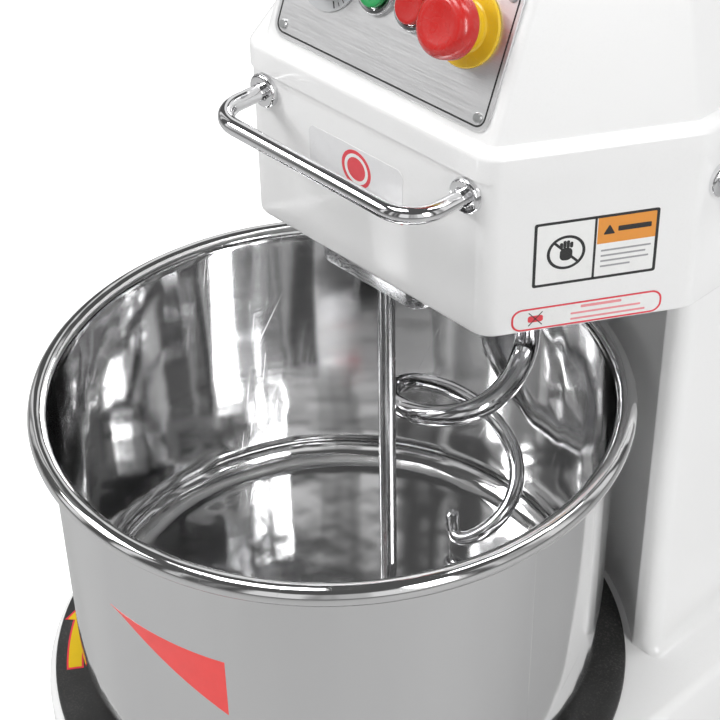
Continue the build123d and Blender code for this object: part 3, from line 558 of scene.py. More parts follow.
whitePaint = paintFinish("whitePaint", {
    "colour": rgb(0.82, 0.82, 0.818), "shade": rgb(0.806, 0.806, 0.804),
    "dirt": rgb(0.6, 0.58, 0.54), "rough": 0.3, "coat": 0.35, "dust": 0.18})
rearPaint = paintFinish("rearPaint", {
    "colour": rgb(0.82, 0.82, 0.81), "shade": rgb(0.8, 0.8, 0.79), "dirt": rgb(0.5, 0.48, 0.44),
    "rough": 0.38, "coat": 0.2, "dust": 0.35, "bump": 0.2})
framePaint = paintFinish("framePaint", {
    "colour": rgb(0.07, 0.075, 0.08), "shade": rgb(0.1, 0.105, 0.11), "rough": 0.5, "coat": 0.1,
    "dust": 0.7, **innerPaint})
gearboxPaint = paintFinish("gearboxPaint", {
    "colour": rgb(0.05, 0.12, 0.2), "shade": rgb(0.07, 0.15, 0.24), "rough": 0.42, "coat": 0.2,
    "dust": 0.6, **innerPaint, "bump": 0.4})
cowlPaint = paintFinish("cowlPaint", {
    "colour": rgb(0.04, 0.045, 0.05), "shade": rgb(0.07, 0.07, 0.075), "rough": 0.45, "coat": 0.2,
    "dust": 0.6, **innerPaint})
bowlSteel = steelFinish("bowlSteel", {
    "colour": rgb(0.80, 0.80, 0.80), "shade": rgb(0.70, 0.70, 0.705), "centre": aboutBowl,
    "rough": (0.05, 0.12), "fineness": 1500.0, "waves": 19.0, "rise": 1.6, "waveDepth": 0.005,
    "waveBump": 0.4, "dust": 0.12, "markBump": 0.3})
rodChrome = steelFinish("rodChrome", {
    "colour": rgb(0.86, 0.86, 0.87), "shade": rgb(0.78, 0.78, 0.79), "rough": (0.035, 0.08),
    "fineness": 1800.0, "dust": 0.2, "waveDepth": 0.0005, "waveBump": 0.1, "markBump": 0.1})
hookChrome = steelFinish("hookChrome", {
    "colour": rgb(0.78, 0.78, 0.79), "shade": rgb(0.66, 0.66, 0.67), "centre": aboutSpiral,
    "rough": (0.06, 0.15), "fineness": 1300.0, "waves": 40.0, "rise": 40.0, "waveDepth": 0.0015,
    "waveBump": 0.25, "dust": 0.2})
barSteel = drawnFinish("barSteel", {
    "colour": rgb(0.5, 0.5, 0.505), "shade": rgb(0.36, 0.36, 0.365), "grain": (2600, 2600, 30),
    "rough": (0.16, 0.3)})
plateSteel = steelFinish("plateSteel", {
    "colour": rgb(0.66, 0.66, 0.67), "shade": rgb(0.55, 0.55, 0.56), "centre": aboutSpiral,
    "rough": (0.2, 0.34), "fineness": 1200.0, "dust": 0.3, "markBump": 0.5})
machinedSteel = steelFinish("machinedSteel", {
    "colour": rgb(0.56, 0.555, 0.55), "shade": rgb(0.44, 0.44, 0.43), "centre": aboutBowl,
    "rough": (0.22, 0.4), "fineness": 1600.0, "dust": 0.6, "markBump": 0.6})
bearingSteel = steelFinish("bearingSteel", {
    "colour": rgb(0.62, 0.62, 0.62), "shade": rgb(0.5, 0.5, 0.5), "centre": aboutSpiral,
    "rough": (0.14, 0.3), "fineness": 1800.0, "dust": 0.5})
oiledSteel = castFinish("oiledSteel", {
    "colour": rgb(0.16, 0.15, 0.14), "shade": rgb(0.26, 0.24, 0.22), "metallic": 1.0, "ior": 2.5,
    "rough": (0.25, 0.45), "coat": 0.3, "grit": 1500.0, "bump": 0.2})
zincPlate = castFinish("zincPlate", {
    "colour": rgb(0.62, 0.63, 0.62), "shade": rgb(0.5, 0.51, 0.52), "metallic": 1.0, "ior": 2.5,
    "rough": (0.25, 0.42), "grit": 2200.0, "mottle": 260.0, "bump": 0.12, "dust": 0.4})
castIron = castFinish("castIron", {
    "colour": rgb(0.12, 0.12, 0.12), "shade": rgb(0.19, 0.185, 0.18), "metallic": 0.6,
    "rough": (0.5, 0.7), "bump": 0.7, "dust": 0.8})
brushedPlate = drawnFinish("brushedPlate", {
    "colour": rgb(0.82, 0.82, 0.825), "shade": rgb(0.7, 0.7, 0.705), "grain": (25, 2400, 2400),
    "rough": (0.34, 0.5), "dust": 0.15})
blackDeck = castFinish("blackDeck", {
    "colour": rgb(0.02, 0.02, 0.02), "shade": rgb(0.035, 0.035, 0.035), "rough": (0.28, 0.42),
    "coat": 0.25, "grit": 1300.0, "bump": 0.35, "dust": 0.5})
footRubber = castFinish("footRubber", {
    "colour": rgb(0.018, 0.018, 0.019), "shade": rgb(0.035, 0.034, 0.033), "rough": (0.6, 0.8),
    "bump": 0.5, "dust": 1.0})
blackMoulded = castFinish("blackMoulded", {
    "colour": rgb(0.016, 0.016, 0.017), "shade": rgb(0.03, 0.03, 0.031), "rough": (0.3, 0.42),
    "grit": 1600.0, "bump": 0.25, "coat": 0.1, "dust": 0.4})
greyMoulded = castFinish("greyMoulded", {
    "colour": rgb(0.42, 0.43, 0.44), "shade": rgb(0.36, 0.37, 0.38), "rough": (0.4, 0.55),
    "grit": 1500.0, "bump": 0.25, "dust": 0.5})
greenMoulded = castFinish("greenMoulded", {
    "colour": rgb(0.02, 0.32, 0.09), "shade": rgb(0.015, 0.26, 0.07), "rough": (0.24, 0.34),
    **glossMoulded})
redMoulded = castFinish("redMoulded", {
    "colour": rgb(0.55, 0.015, 0.012), "shade": rgb(0.45, 0.012, 0.01), "rough": (0.22, 0.32),
    **glossMoulded})
yellowMoulded = castFinish("yellowMoulded", {
    "colour": rgb(0.75, 0.5, 0.02), "shade": rgb(0.68, 0.44, 0.02), "rough": (0.26, 0.36),
    **glossMoulded, "coat": 0.3})
dialPrint = castFinish("dialPrint", {
    "colour": rgb(0.55, 0.56, 0.57), "shade": rgb(0.5, 0.51, 0.52), "rough": (0.35, 0.5),
    "grit": 2400.0, "bump": 0.08, "dust": 0.2})


def printFinish(name, colour, rough=0.35, coat=0.4):
    # printed vinyl: ink with a faint halftone mottle under a clear film
    shade = tuple(channel * 0.9 for channel in colour[:3]) + (1.0,)
    return castFinish(name, {"colour": colour, "shade": shade,
                             "rough": (rough - 0.05, rough + 0.06),
                             "grit": 2600.0, "mottle": 120.0, "bump": 0.05, "coat": coat,
                             "dust": 0.15})


whiteFilm = printFinish("whiteFilm", rgb(0.86, 0.86, 0.85))
blackInk = printFinish("blackInk", rgb(0.015, 0.015, 0.016))
orangeInk = printFinish("orangeInk", rgb(0.8, 0.3, 0.03))
redInk = printFinish("redInk", rgb(0.78, 0.04, 0.06))
paleRedInk = printFinish("paleRedInk", rgb(0.85, 0.3, 0.32))
greyInk = printFinish("greyInk", rgb(0.35, 0.35, 0.36))
flashInk = printFinish("flashInk", rgb(0.95, 0.06, 0.055))
arrowInk = printFinish("arrowInk", rgb(0.78, 0.52, 0.0))
clearFilm = printFinish("clearFilm", rgb(0.77, 0.77, 0.78), rough=0.12, coat=0.8)


def lensFinish():
    # a ribbed, partly clear coloured lens
    material, tree, shader = startFinish("lampLens", {"Metallic": 0.0, "Transmission Weight": 0.55,
                                                      "IOR": 1.49, "Coat Weight": 0.5})
    point = objectPoint(tree)
    ribs = noise(tree, point, 900.0, 1.0, 0.5)
    dust = use(tree, fineDust, point, Amount=0.3)
    tree.links.new(blended(tree, dust.outputs["Mask"], rgb(0.85, 0.12, 0.04), rgb(0.5, 0.3, 0.25)),
                   shader.inputs["Base Color"])
    tree.links.new(remap(tree, ribs, 0.3, 0.7, 0.08, 0.2), shader.inputs["Roughness"])
    bumped(tree, shader, [(ribs, 0.0001, 0.3)])
    return material


lampLens = lensFinish()
print("finishes ready:", len(bpy.data.materials))


# ---- bowl ----

bowlLook = {"wall": 0.0015, "outerRadius": 0.1789, "beadRing": 0.184, "bead": 0.0068,
            "corner": 0.020, "floorDish": 0.0012, "around": 256}


def bowlProfile(look):
    # (radius, height) from the outer pole out and up the wall, round the rolled bead, then down
    # the inner wall and in to the inner pole
    foot = bowlLow[2]
    rimZ = bowlHigh[2] - look["bead"]
    outer, inner = look["outerRadius"], look["outerRadius"] - look["wall"]
    outerCorner, corner = look["corner"] + look["wall"], look["corner"]
    floor = foot + 0.002
    meet = math.degrees(math.asin(min(1, (look["beadRing"] - outer) / look["bead"])))
    meetIn = math.degrees(math.asin(min(1, (look["beadRing"] - inner) / look["bead"])))
    reach = np.linspace(0, inner - corner, 40)[::-1]
    # the floor crowns a little towards its middle
    crown = look["floorDish"] * (1 - (reach / (inner - corner)) ** 2)
    rows = [spread((0, foot), (outer - outerCorner, foot), 12)[:-1],
            arc((outer - outerCorner, foot + outerCorner), outerCorner, -90, 0, 16)[:-1],
            spread((outer, foot + outerCorner),
                   (outer, rimZ - look["bead"] * math.cos(math.radians(meet))), 40)[:-1],
            arc((look["beadRing"], rimZ), look["bead"], -90 - meet, 90, 22)[:-1],
            arc((look["beadRing"], rimZ), look["bead"], 90, 270 - meetIn, 18)[:-1],
            spread((inner, rimZ - look["bead"] * math.cos(math.radians(meetIn))),
                   (inner, floor + corner), 60)[:-1],
            arc((inner - corner, floor + corner), corner, 0, -90, 18)[:-1],
            np.column_stack([reach, floor + crown])]
    return np.concatenate(rows)


bowlMesh = turned("mixingBowl", bowlProfile(bowlLook), (axisX, axisY, 0), (0, 0, 1),
                  around=bowlLook["around"], sharp=50)
place(bowlMesh, bowlSteel, "turntable", ["bowl"])

rimHeight = bowlHigh[2] - bowlLook["bead"]               # middle of the rolled bead

seamLook = {"azimuth": -2.0, "width": 0.0014, "proud": 0.00025, "points": 40, "foot": 0.022,
            "head": 0.013}
seamZ = np.linspace(bowlLow[2] + seamLook["foot"], bowlHigh[2] - seamLook["head"],
                    seamLook["points"])
seamAngle = math.radians(seamLook["azimuth"])
seamPath = np.column_stack([np.full_like(seamZ,
                                         axisX + bowlLook["outerRadius"] * math.cos(seamAngle)),
                            np.full_like(seamZ,
                                         axisY + bowlLook["outerRadius"] * math.sin(seamAngle)),
                            seamZ])


def weldSeam(path, width, proud, angle):
    # a low ridge up the wall, its height rippling as a ground weld's does
    across = np.array([-math.sin(angle), math.cos(angle), 0.0])
    out = np.array([math.cos(angle), math.sin(angle), 0.0])
    shape = np.array([(-0.5, -0.4), (-0.3, 0.6), (0, 1.0), (0.3, 0.6), (0.5, -0.4), (0, -0.9)])
    ripple = 0.75 + 0.25 * np.sin(np.arange(len(path)) * 2.1)
    grid = (path[:, None] + shape[None, :, :1] * width * across
            + shape[None, :, 1:] * (proud * ripple)[:, None, None] * out)
    return capped("bowlSeam", grid)


place(weldSeam(seamPath, seamLook["width"], seamLook["proud"], seamAngle), bowlSteel, "turntable")

flashLook = {"tip": (-92.0, -0.070), "end": -64.0, "fall": 0.0019, "bow": 5.0, "proud": 0.00012,
             "sunk": -0.0003, "points": 48}


def flashPatch(look):
    # a plain wedge laid round the wall: a level upper edge, and a lower one that bows down from
    # the tip, both read by angle about the axis
    degrees = np.linspace(look["tip"][0], look["end"], look["points"])
    angle = np.radians(degrees)
    run = degrees - look["tip"][0]
    top = rimHeight + look["tip"][1] + 0.0006 * np.sin(np.radians(run * 7))
    bottom = top - 0.0002 - look["fall"] * (np.hypot(run, look["bow"]) - look["bow"])
    between, proud, sunk = (top + bottom) / 2, look["proud"], look["sunk"]
    rows = []
    for height, lift in ((top, proud), (between, proud), (bottom, proud), (bottom, sunk),
                         (between, sunk), (top, sunk)):
        radius = bowlLook["outerRadius"] + lift
        rows.append(np.column_stack([axisX + radius * np.cos(angle),
                                     axisY + radius * np.sin(angle),
                                     height]))
    return capped("bowlFlash", np.stack(rows, axis=1))


place(flashPatch(flashLook), flashInk, "turntable")
print("bowl built")


# ---- spiral hook, hub and breaker bar ----

hookLook = {"legTurn": 33.0, "legOffset": 0.045, "legRadius": 0.0088, "midRadius": 0.0064,
            "tipRadius": 0.0052, "midShare": 0.45, "around": 40}
# degrees turned from the leg, distance from the spindle, depth below the rim
hookStations = np.array([(64, 0.0505, 0.042), (127, 0.048, 0.057), (191, 0.0455, 0.075),
                         (254, 0.0465, 0.102), (318, 0.0465, 0.137), (382, 0.033, 0.171),
                         (440, 0.013, 0.188), (500, 0.003, 0.180)])


def hookPoints(turn, reach, depth):
    turn, reach, depth = np.broadcast_arrays(*(np.asarray(v, float) for v in (turn, reach, depth)))
    angle = np.radians(hookLook["legTurn"] - turn)
    return np.stack([axisX + reach * np.cos(angle), spindleY + reach * np.sin(angle),
                     rimHeight - depth], axis=-1)


def smoothCurve(points, count):
    # a cubic spline through the points, timed by the distance between them, straight at its ends
    points = np.asarray(points, float)
    time = np.concatenate([[0], np.cumsum(np.linalg.norm(np.diff(points, axis=0), axis=1))])
    gap = np.diff(time)
    size = len(points)
    matrix, right = np.eye(size), np.zeros((size, 3))
    inner = np.arange(1, size - 1)
    matrix[inner, inner - 1] = gap[:-1]
    matrix[inner, inner] = 2 * (gap[:-1] + gap[1:])
    matrix[inner, inner + 1] = gap[1:]
    slope = np.diff(points, axis=0) / gap[:, None]
    right[1:-1] = 6 * (slope[1:] - slope[:-1])
    bend = np.linalg.solve(matrix, right)
    when = np.linspace(0, time[-1], count)
    part = np.clip(np.searchsorted(time, when) - 1, 0, size - 2)
    a = ((time[part + 1] - when) / gap[part])[:, None]
    b = 1 - a
    step = gap[part][:, None]
    return (a * points[part] + b * points[part + 1]
            + ((a ** 3 - a) * bend[part] + (b ** 3 - b) * bend[part + 1]) * step ** 2 / 6)


def hookMesh(look):
    straight = hookPoints(0, look["legOffset"],
                          np.linspace(rimHeight - hubLow[2], -0.008, 14)[:-1])
    bent = smoothCurve(np.vstack([hookPoints([0, 0], look["legOffset"], [-0.008, 0.020]),
                                  hookPoints(*hookStations.T)]), 260)
    path = np.vstack([straight, bent])
    share = np.linspace(0, 1, len(bent))
    drawn = np.minimum(1, share / look["midShare"])
    tail = np.maximum(0, share - look["midShare"]) / (1 - look["midShare"])
    thick = (look["legRadius"] - (look["legRadius"] - look["midRadius"]) * drawn
             - (look["midRadius"] - look["tipRadius"]) * tail)
    radii = np.concatenate([np.full(len(straight), look["legRadius"]), thick])
    heading = unit(np.gradient(path, axis=0))
    hint = carriedSide(heading)
    return tube("spiralHook", path, radii, hint, around=look["around"], rounded=True)


def carriedSide(heading):
    # a side direction carried along the path without twist, one step at a time
    side = np.zeros_like(heading)
    side[0] = (1, 0, 0)
    for step in range(1, len(heading)):
        last = side[step - 1]
        side[step] = unit(last - np.dot(last, heading[step]) * heading[step])
    return side


place(hookMesh(hookLook), hookChrome, "spiral", ["spiral_hook"])

hubRadius = (hubHigh[0] - hubLow[0]) / 2
hubLook = {"bevel": 0.0015, "bore": 0.0149, "grooveDepth": 0.0006}


def hubProfile(look):
    # a disc with bevelled rims and a turned groove under it, bored for its spindle
    low, high = hubLow[2], hubHigh[2]
    return [(look["bore"], low), (0.026, low), (0.0266, low + look["grooveDepth"]),
            (0.0284, low + look["grooveDepth"]), (0.029, low), (hubRadius - look["bevel"], low),
            (hubRadius, low + look["bevel"]), (hubRadius, high - look["bevel"]),
            (hubRadius - look["bevel"], high), (look["bore"], high)]


place(turned("spiralHub", hubProfile(hubLook), (axisX, spindleY, 0), (0, 0, 1), around=128,
             loopU=True), plateSteel, "spiral", ["spiral_hub"])

sealLow, sealHigh = boxOf("spindle_seal_plate")
sealRadius = (sealHigh[0] - sealLow[0]) / 2
place(turned("sealPlate", [(0.0155, sealLow[2]), (sealRadius - 0.0008, sealLow[2]),
                           (sealRadius, sealLow[2] + 0.0008), (sealRadius, sealHigh[2]),
                           (0.0155, sealHigh[2])], (axisX, spindleY, 0), (0, 0, 1), around=128,
             loopU=True), plateSteel, "body", ["spindle_seal_plate"])

barLow, barHigh = boxOf("breaker_bar")
barLook = {"radius": 0.0058, "flatHeight": 0.019, "flatAt": 0.0054, "tipBevel": 0.001}
barX, barY = axisX, barLow[1] + barLook["radius"]


def barMesh(look):
    # a round bar, milled flat on one side over its lowest stretch
    heights = np.concatenate([[0, 0, look["tipBevel"], look["flatHeight"],
                               look["flatHeight"] + 0.0001],
                              np.linspace(look["flatHeight"] + 0.004, barHigh[2] - barLow[2], 24),
                              [barHigh[2] - barLow[2]]])
    radii = np.full(len(heights), look["radius"])
    radii[0], radii[1], radii[-1] = 0, look["radius"] - look["tipBevel"], 0
    angle = np.linspace(0, 2 * np.pi, 64, endpoint=False)
    x, y = radii[:, None] * np.cos(angle), radii[:, None] * np.sin(angle)
    milled = heights <= look["flatHeight"]
    x = np.where(milled[:, None], np.minimum(x, look["flatAt"] - 0.0024), x)
    grid = np.stack([barX + x, barY + y, barLow[2] + heights[:, None] * np.ones(64)], axis=-1)
    return surface("breakerBar", grid)


place(barMesh(barLook), barSteel, "body", ["breaker_bar"])

bracketLow, bracketHigh = boxOf("breaker_bar_bracket")
bracketLook = {"corner": 0.011, "bevel": 0.0012, "perCorner": 10}


def bracketMesh(look):
    # the bar's foot plate: a rounded rectangle with a softened lower edge
    halfX = (bracketHigh[0] - bracketLow[0]) / 2
    front, back = bracketLow[1] - axisY, bracketHigh[1] - axisY
    corners = [(-halfX, front), (halfX, front), (halfX, back), (-halfX, back)]
    levels = [(0.0, bracketHigh[2])] + [(inset, bracketLow[2] + drop) for inset, drop
                                        in rounding(look["bevel"], 0, 22, 45, 68, 90)]
    skins = [(outlineOf(corners, look["corner"] - inset, inset, look["perCorner"]), height)
             for inset, height in levels]
    middle = skins[0][0].mean(axis=0)
    flat = np.repeat(middle[None], len(skins[0][0]), axis=0)
    return stacked("barBracket", [(flat, bracketHigh[2])] + skins + [(flat, bracketLow[2])])


place(bracketMesh(bracketLook), plateSteel, "body", ["breaker_bar_bracket"])
print("hook and bar built")


# ---- head: lower shell, top cover ----

headLook = {"half": 0.164, "front": 0.0295, "frontHalf": 0.0995, "facetBack": 0.139,
            "corner": 0.016,
            "capCorner": 0.008, "sheet": 0.0025, "lowerFillet": 0.003, "bandProud": 0.0015,
            "bandTall": 0.018,
            "shelfIn": 0.009, "frontSlope": 68.0, "sideSlope": 76.5, "topFillet": 0.007,
            "bandFillet": 0.005, "spindleHole": 0.046, "perCorner": 12}
headCorners = np.array([(-headLook["frontHalf"], headLook["front"]),
                        (headLook["frontHalf"], headLook["front"]),
                        (headLook["half"], headLook["facetBack"]), (headLook["half"], bodyRear),
                        (-headLook["half"], bodyRear), (-headLook["half"], headLook["facetBack"])])
frontSide = np.array([1.0, 0, 0, 0, 0, 0])      # which of the head's sides is the front


def headOutline(inset, corner, frontExtra=0.0):
    return outlineOf(headCorners, np.full(6, max(corner, 0.0005)), inset + frontExtra * frontSide,
                     headLook["perCorner"])


def circleAgainst(outline, centre, radius):
    # the points of a circle that face an outline's points, as seen from the circle's centre
    return np.asarray(centre) + radius * unit(outline - np.asarray(centre))


def lowerShellMesh(look):
    # the skin of the head's lower half: out from the spindle hole, round the lower edge, up the
    # wall, over its rim, down the inside and back in
    low, high, sheet, fillet = headLow[2], headHigh[2], look["sheet"], look["lowerFillet"]
    hole = (0.0, spindleY - axisY)
    edge = headOutline(fillet, look["corner"] - fillet)
    levels = [(circleAgainst(edge, hole, look["spindleHole"]), low)]
    levels += [(headOutline(inset, look["corner"] - inset), low + drop)
               for inset, drop in rounding(fillet, 90, 67, 45, 22, 0)]
    levels += [(headOutline(0, look["corner"]), height) for height in np.linspace(low + fillet,
                                                                                  high, 8)[1:]]
    inner = headOutline(sheet, look["corner"] - sheet)
    levels += [(inner, high), (inner, low + sheet),
               (circleAgainst(inner, hole, look["spindleHole"]), low + sheet)]
    return stacked("headLowerShell", levels, loopU=True)


def capInset(height, slope, shelfIn, top, fillet):
    # how far in the sloped wall stands at a height, with its top edge rounded
    lean = math.tan(math.radians(slope))
    straight = shelfIn + (height - capShelf) / lean
    middle = shelfIn + (top - fillet - capShelf) / lean + fillet / math.sin(math.radians(slope))
    above = height - (top - fillet)
    start = fillet * math.cos(math.radians(slope))
    curved = middle - np.sqrt(np.maximum(fillet ** 2 - np.minimum(above, fillet) ** 2, 0))
    return np.where(above > start, curved, straight)


capShelf = capLow[2] + headLook["bandTall"]


def topCoverMesh(look):
    # from the top's middle out and down: rounded top edge, slopes, shelf, band, then the inside
    top, fillet, band = capHigh[2], look["topFillet"], look["bandFillet"]
    levels = []
    angles = np.radians([90, 80, 68, 56, 45, 34, 24, 14])
    heights = np.concatenate([top - fillet + fillet * np.sin(angles),
                              np.linspace(top - fillet + 0.001, capShelf, 12)])
    for height in heights:
        side = float(capInset(height, look["sideSlope"], look["shelfIn"], top, fillet))
        front = float(capInset(height, look["frontSlope"], look["shelfIn"], top, fillet))
        levels.append((headOutline(side, look["capCorner"], front - side), height))
    proud = look["bandProud"]
    levels += [(headOutline(inset - proud, look["corner"] - inset + proud), capShelf - drop)
               for inset, drop in rounding(band, 90, 70, 50, 30, 15, 0)]
    bandLow = capLow[2]
    levels.append((headOutline(-proud, look["corner"] + proud), bandLow))
    sheet = look["sheet"]
    levels += [(headOutline(0, look["corner"]), bandLow),
               (headOutline(0, look["corner"]), bandLow + 0.002),
               (headOutline(sheet, look["corner"] - sheet), bandLow + 0.002),
               (headOutline(sheet, look["corner"] - sheet), capShelf - sheet)]
    for height in np.linspace(capShelf - sheet, top - sheet, 6):
        side = look["shelfIn"] + sheet + (height
                                          - capShelf) / math.tan(math.radians(look["sideSlope"]))
        front = look["shelfIn"] + sheet + (height
                                           - capShelf) / math.tan(math.radians(look["frontSlope"]))
        levels.append((headOutline(side, look["capCorner"] - sheet, front - side), height))
    middle = np.array([0.0, (look["front"] + bodyRear) / 2])
    flat = np.repeat(middle[None], len(levels[0][0]), axis=0)
    return stacked("headTopCover", [(flat, top)] + levels + [(flat, top - sheet)])


place(lowerShellMesh(headLook), whitePaint, "body", ["head_lower_shell"])
place(topCoverMesh(headLook), whitePaint, "body", ["head_top_cover"])
print("head built")


# ---- column and plinth ----

columnLook = {"half": 0.1625, "front": 0.142, "scoop": 0.204, "rearCorner": 0.018,
              "frontCorner": 0.011,
              "tip": 0.0026, "sheet": 0.0025, "cove": 0.011, "perCorner": 8, "scoopPoints": 64}


def columnOutline(inset, sideOut=0.0):
    # square behind, and scooped in front by an arc about the bowl's axis
    look = columnLook
    scoop, front = look["scoop"] + inset, look["front"] + inset
    tipX = math.sqrt(scoop ** 2 - front ** 2)
    halfTurn = math.atan2(tipX, front)
    side = inset - sideOut
    turn = np.linspace(-halfTurn, halfTurn, look["scoopPoints"] + 2)
    scooped = np.stack([-scoop * np.sin(-turn), scoop * np.cos(turn)], axis=1)   # left to right
    corners = np.array([scooped[-1], (look["half"] - side, front),
                        (look["half"] - side, bodyRear - inset),
                        (-look["half"] + side, bodyRear - inset), (-look["half"] + side, front),
                        scooped[0], scooped[1], scooped[-2]])
    radii = np.array([look["tip"], look["frontCorner"] - inset, look["rearCorner"] - inset,
                      look["rearCorner"] - inset, look["frontCorner"] - inset, look["tip"], 0, 0])
    # the arc between its second and last but one points is put back after the corners are rounded
    rounded = outlineOf(corners, radii, 0.0, look["perCorner"])
    count = look["perCorner"]
    return np.vstack([rounded[:6 * count], scooped[2:-2]])


def columnMesh(look):
    # a closed wall carried round the plan: up the outside from a coved foot, down the inside
    low, high, sheet, cove = columnLow[2], columnHigh[2], look["sheet"], look["cove"]
    levels = [(columnOutline(0, drop), low + inset)
              for inset, drop in rounding(cove, *np.linspace(0, 90, 9))]
    levels += [(columnOutline(0), height) for height in np.linspace(low + cove, high, 14)[1:]]
    levels += [(columnOutline(sheet), high), (columnOutline(sheet), low)]
    return stacked("columnShell", levels, loopU=True)


place(columnMesh(columnLook), whitePaint, "body", ["column_shell"])

plinthLook = {"radius": 0.204, "rearCorner": 0.030, "fillet": 0.007, "sheet": 0.0025,
              "deckHole": 0.119, "frontPoints": 96, "perCorner": 10}


def plinthOutline(inset):
    # a half circle about the bowl's axis in front, and a rounded square behind
    look = plinthLook
    turn = np.linspace(-np.pi, 0, look["frontPoints"])
    radius = look["radius"] - inset
    front = radius * np.stack([np.cos(turn), np.sin(turn)], axis=1)
    corners = np.array([(-radius, 0.0), (radius, 0.0), (radius, bodyRear - inset),
                        (-radius, bodyRear - inset)])
    rounded = outlineOf(corners, [0, 0, look["rearCorner"] - inset, look["rearCorner"] - inset],
                        0.0,
                        look["perCorner"])
    return np.vstack([front, rounded[2 * look["perCorner"]:]])


def plinthMesh(look):
    # in from the deck hole out to the rounded top edge, down the skirt and back up inside it
    low, high, sheet, fillet = plinthLow[2], plinthHigh[2], look["sheet"], look["fillet"]
    edge = plinthOutline(fillet)
    levels = [(circleAgainst(edge, (0, 0), look["deckHole"]), high),
              (circleAgainst(edge, (0, 0), 0.15), high)]
    levels += [(plinthOutline(inset), high - drop)
               for inset, drop in rounding(fillet, 90, 72, 54, 36, 18, 0)]
    levels += [(plinthOutline(0), height) for height in np.linspace(high - fillet, low, 8)[1:]]
    inner = plinthOutline(sheet)
    levels += [(inner, low), (inner, high - sheet),
               (circleAgainst(inner, (0, 0), look["deckHole"]), high - sheet)]
    return stacked("plinthShell", levels, loopU=True)


place(plinthMesh(plinthLook), whitePaint, "body", ["plinth_shell"])

deckLow, deckHigh = boxOf("deck_ring")
deckLook = {"radius": 0.199, "hole": 0.119, "edge": 0.001}
deckTop, deckEdge = deckHigh[2], deckLook["edge"]
deckProfile = np.vstack([
    [(deckLook["hole"], deckLow[2]), (deckLook["hole"], deckTop - deckEdge)],
    arc((deckLook["hole"] + deckEdge, deckTop - deckEdge), deckEdge, 180, 90, 5),
    spread((0.13, deckTop), (0.19, deckTop), 5),
    arc((deckLook["radius"] - deckEdge, deckTop - deckEdge), deckEdge, 90, 0, 5),
    [(deckLook["radius"], deckLow[2])]])
place(turned("deckRing", deckProfile, (axisX, axisY, 0), (0, 0, 1), around=192, loopU=True),
      blackDeck, "body", ["deck_ring"])
print("column and plinth built")


# ---- handles and rosettes ----

handleLook = {"rod": 0.00525, "half": 0.085, "out": 0.0435, "bend": 0.022, "around": 40,
              "rosette": 0.011, "rosetteHeight": 0.0045}


def handlePath(look):
    # a straight grip between two bends and two short legs, in the plane of the handle
    half, out, bend = look["half"], look["out"], look["bend"]
    rows = [spread((-half, 0), (-half, out - bend), 6)[:-1],
            arc((-half + bend, out - bend), bend, 180, 90, 18)[:-1],
            spread((-half + bend, out), (half - bend, out), 26)[:-1],
            arc((half - bend, out - bend), bend, 90, 0, 18)[:-1],
            spread((half, out - bend), (half, 0), 6)]
    return np.concatenate(rows)


def handleAndRosettes(name, node, foot, along, out):
    flat = handlePath(handleLook)
    foot, along, out = (np.asarray(v, float) for v in (foot, along, out))
    path = foot + flat[:, :1] * along + flat[:, 1:] * out
    place(tube(name, path, handleLook["rod"], np.cross(along, out), around=handleLook["around"]),
          rodChrome, "body", [node])
    radius, high = handleLook["rosette"], handleLook["rosetteHeight"]
    rings = []
    for end in (-handleLook["half"], handleLook["half"]):
        profile = np.vstack([[(handleLook["rod"] - 0.0002, 0), (radius, 0), (radius, high * 0.55)],
                             arc((radius - high * 0.45, high * 0.55), high * 0.45, 10, 90, 6),
                             [(handleLook["rod"] + 0.0008, high),
                              (handleLook["rod"] - 0.0002, high * 0.8)]])
        rings.append(turned("ring", profile, foot + end * along, out, around=48, loopU=True))
    return rings


frontBox, leftBox = boxOf("front_handle"), boxOf("left_handle")
frontZ = (frontBox[0][2] + frontBox[1][2]) / 2
sideY, sideZ = ((leftBox[0] + leftBox[1]) / 2)[1:]
handlePlaces = {
    "front": ((axisX, axisY + headLook["front"], frontZ), (1, 0, 0), (0, -1, 0)),
    "left": ((axisX - headLook["half"], sideY, sideZ), (0, 1, 0), (-1, 0, 0)),
    "right": ((axisX + headLook["half"], sideY, sideZ), (0, 1, 0), (1, 0, 0)),
}
rosettes = []
for side, (foot, along, out) in handlePlaces.items():
    rosettes += handleAndRosettes(side + "Handle", side + "_handle", foot, along, out)
place(joined("handleRosettes", rosettes), rodChrome, "body", ["handle_rosettes"])
print("handles built")


# ---- control panel and its controls ----

slope = math.radians(headLook["frontSlope"])
faceOrigin = np.array([axisX, axisY + headLook["front"] + headLook["shelfIn"], capShelf])
faceRight, faceUp = np.array([1.0, 0, 0]), np.array([0, math.cos(slope), math.sin(slope)])
faceOut = np.array([0, -math.sin(slope), math.cos(slope)])
panelLook = {"width": 0.176, "height": 0.084, "low": 0.004, "thick": 0.0015, "corner": 0.009,
             "edge": 0.0004, "line": 0.0011, "lineIn": 0.0025}
controlAt = {"timer": (-0.054, 0.054), "start": (-0.014, 0.054), "stop": (0.016, 0.054),
             "estop": (0.056, 0.056), "lamp": (0.001, 0.078)}


def onFace(where, height=0.0):
    return faceOrigin + where[0] * faceRight + where[1] * faceUp + height * faceOut


def roundedBox(width, height, corner, perCorner=8, at=(0.0, 0.0)):
    return outlineOf([(-width / 2, -height / 2), (width / 2, -height / 2), (width / 2, height / 2),
                      (-width / 2, height / 2)], corner, 0.0, perCorner) + np.asarray(at)


def panelShape(inset):
    return roundedBox(panelLook["width"] - 2 * inset, panelLook["height"] - 2 * inset,
                      panelLook["corner"] - inset)


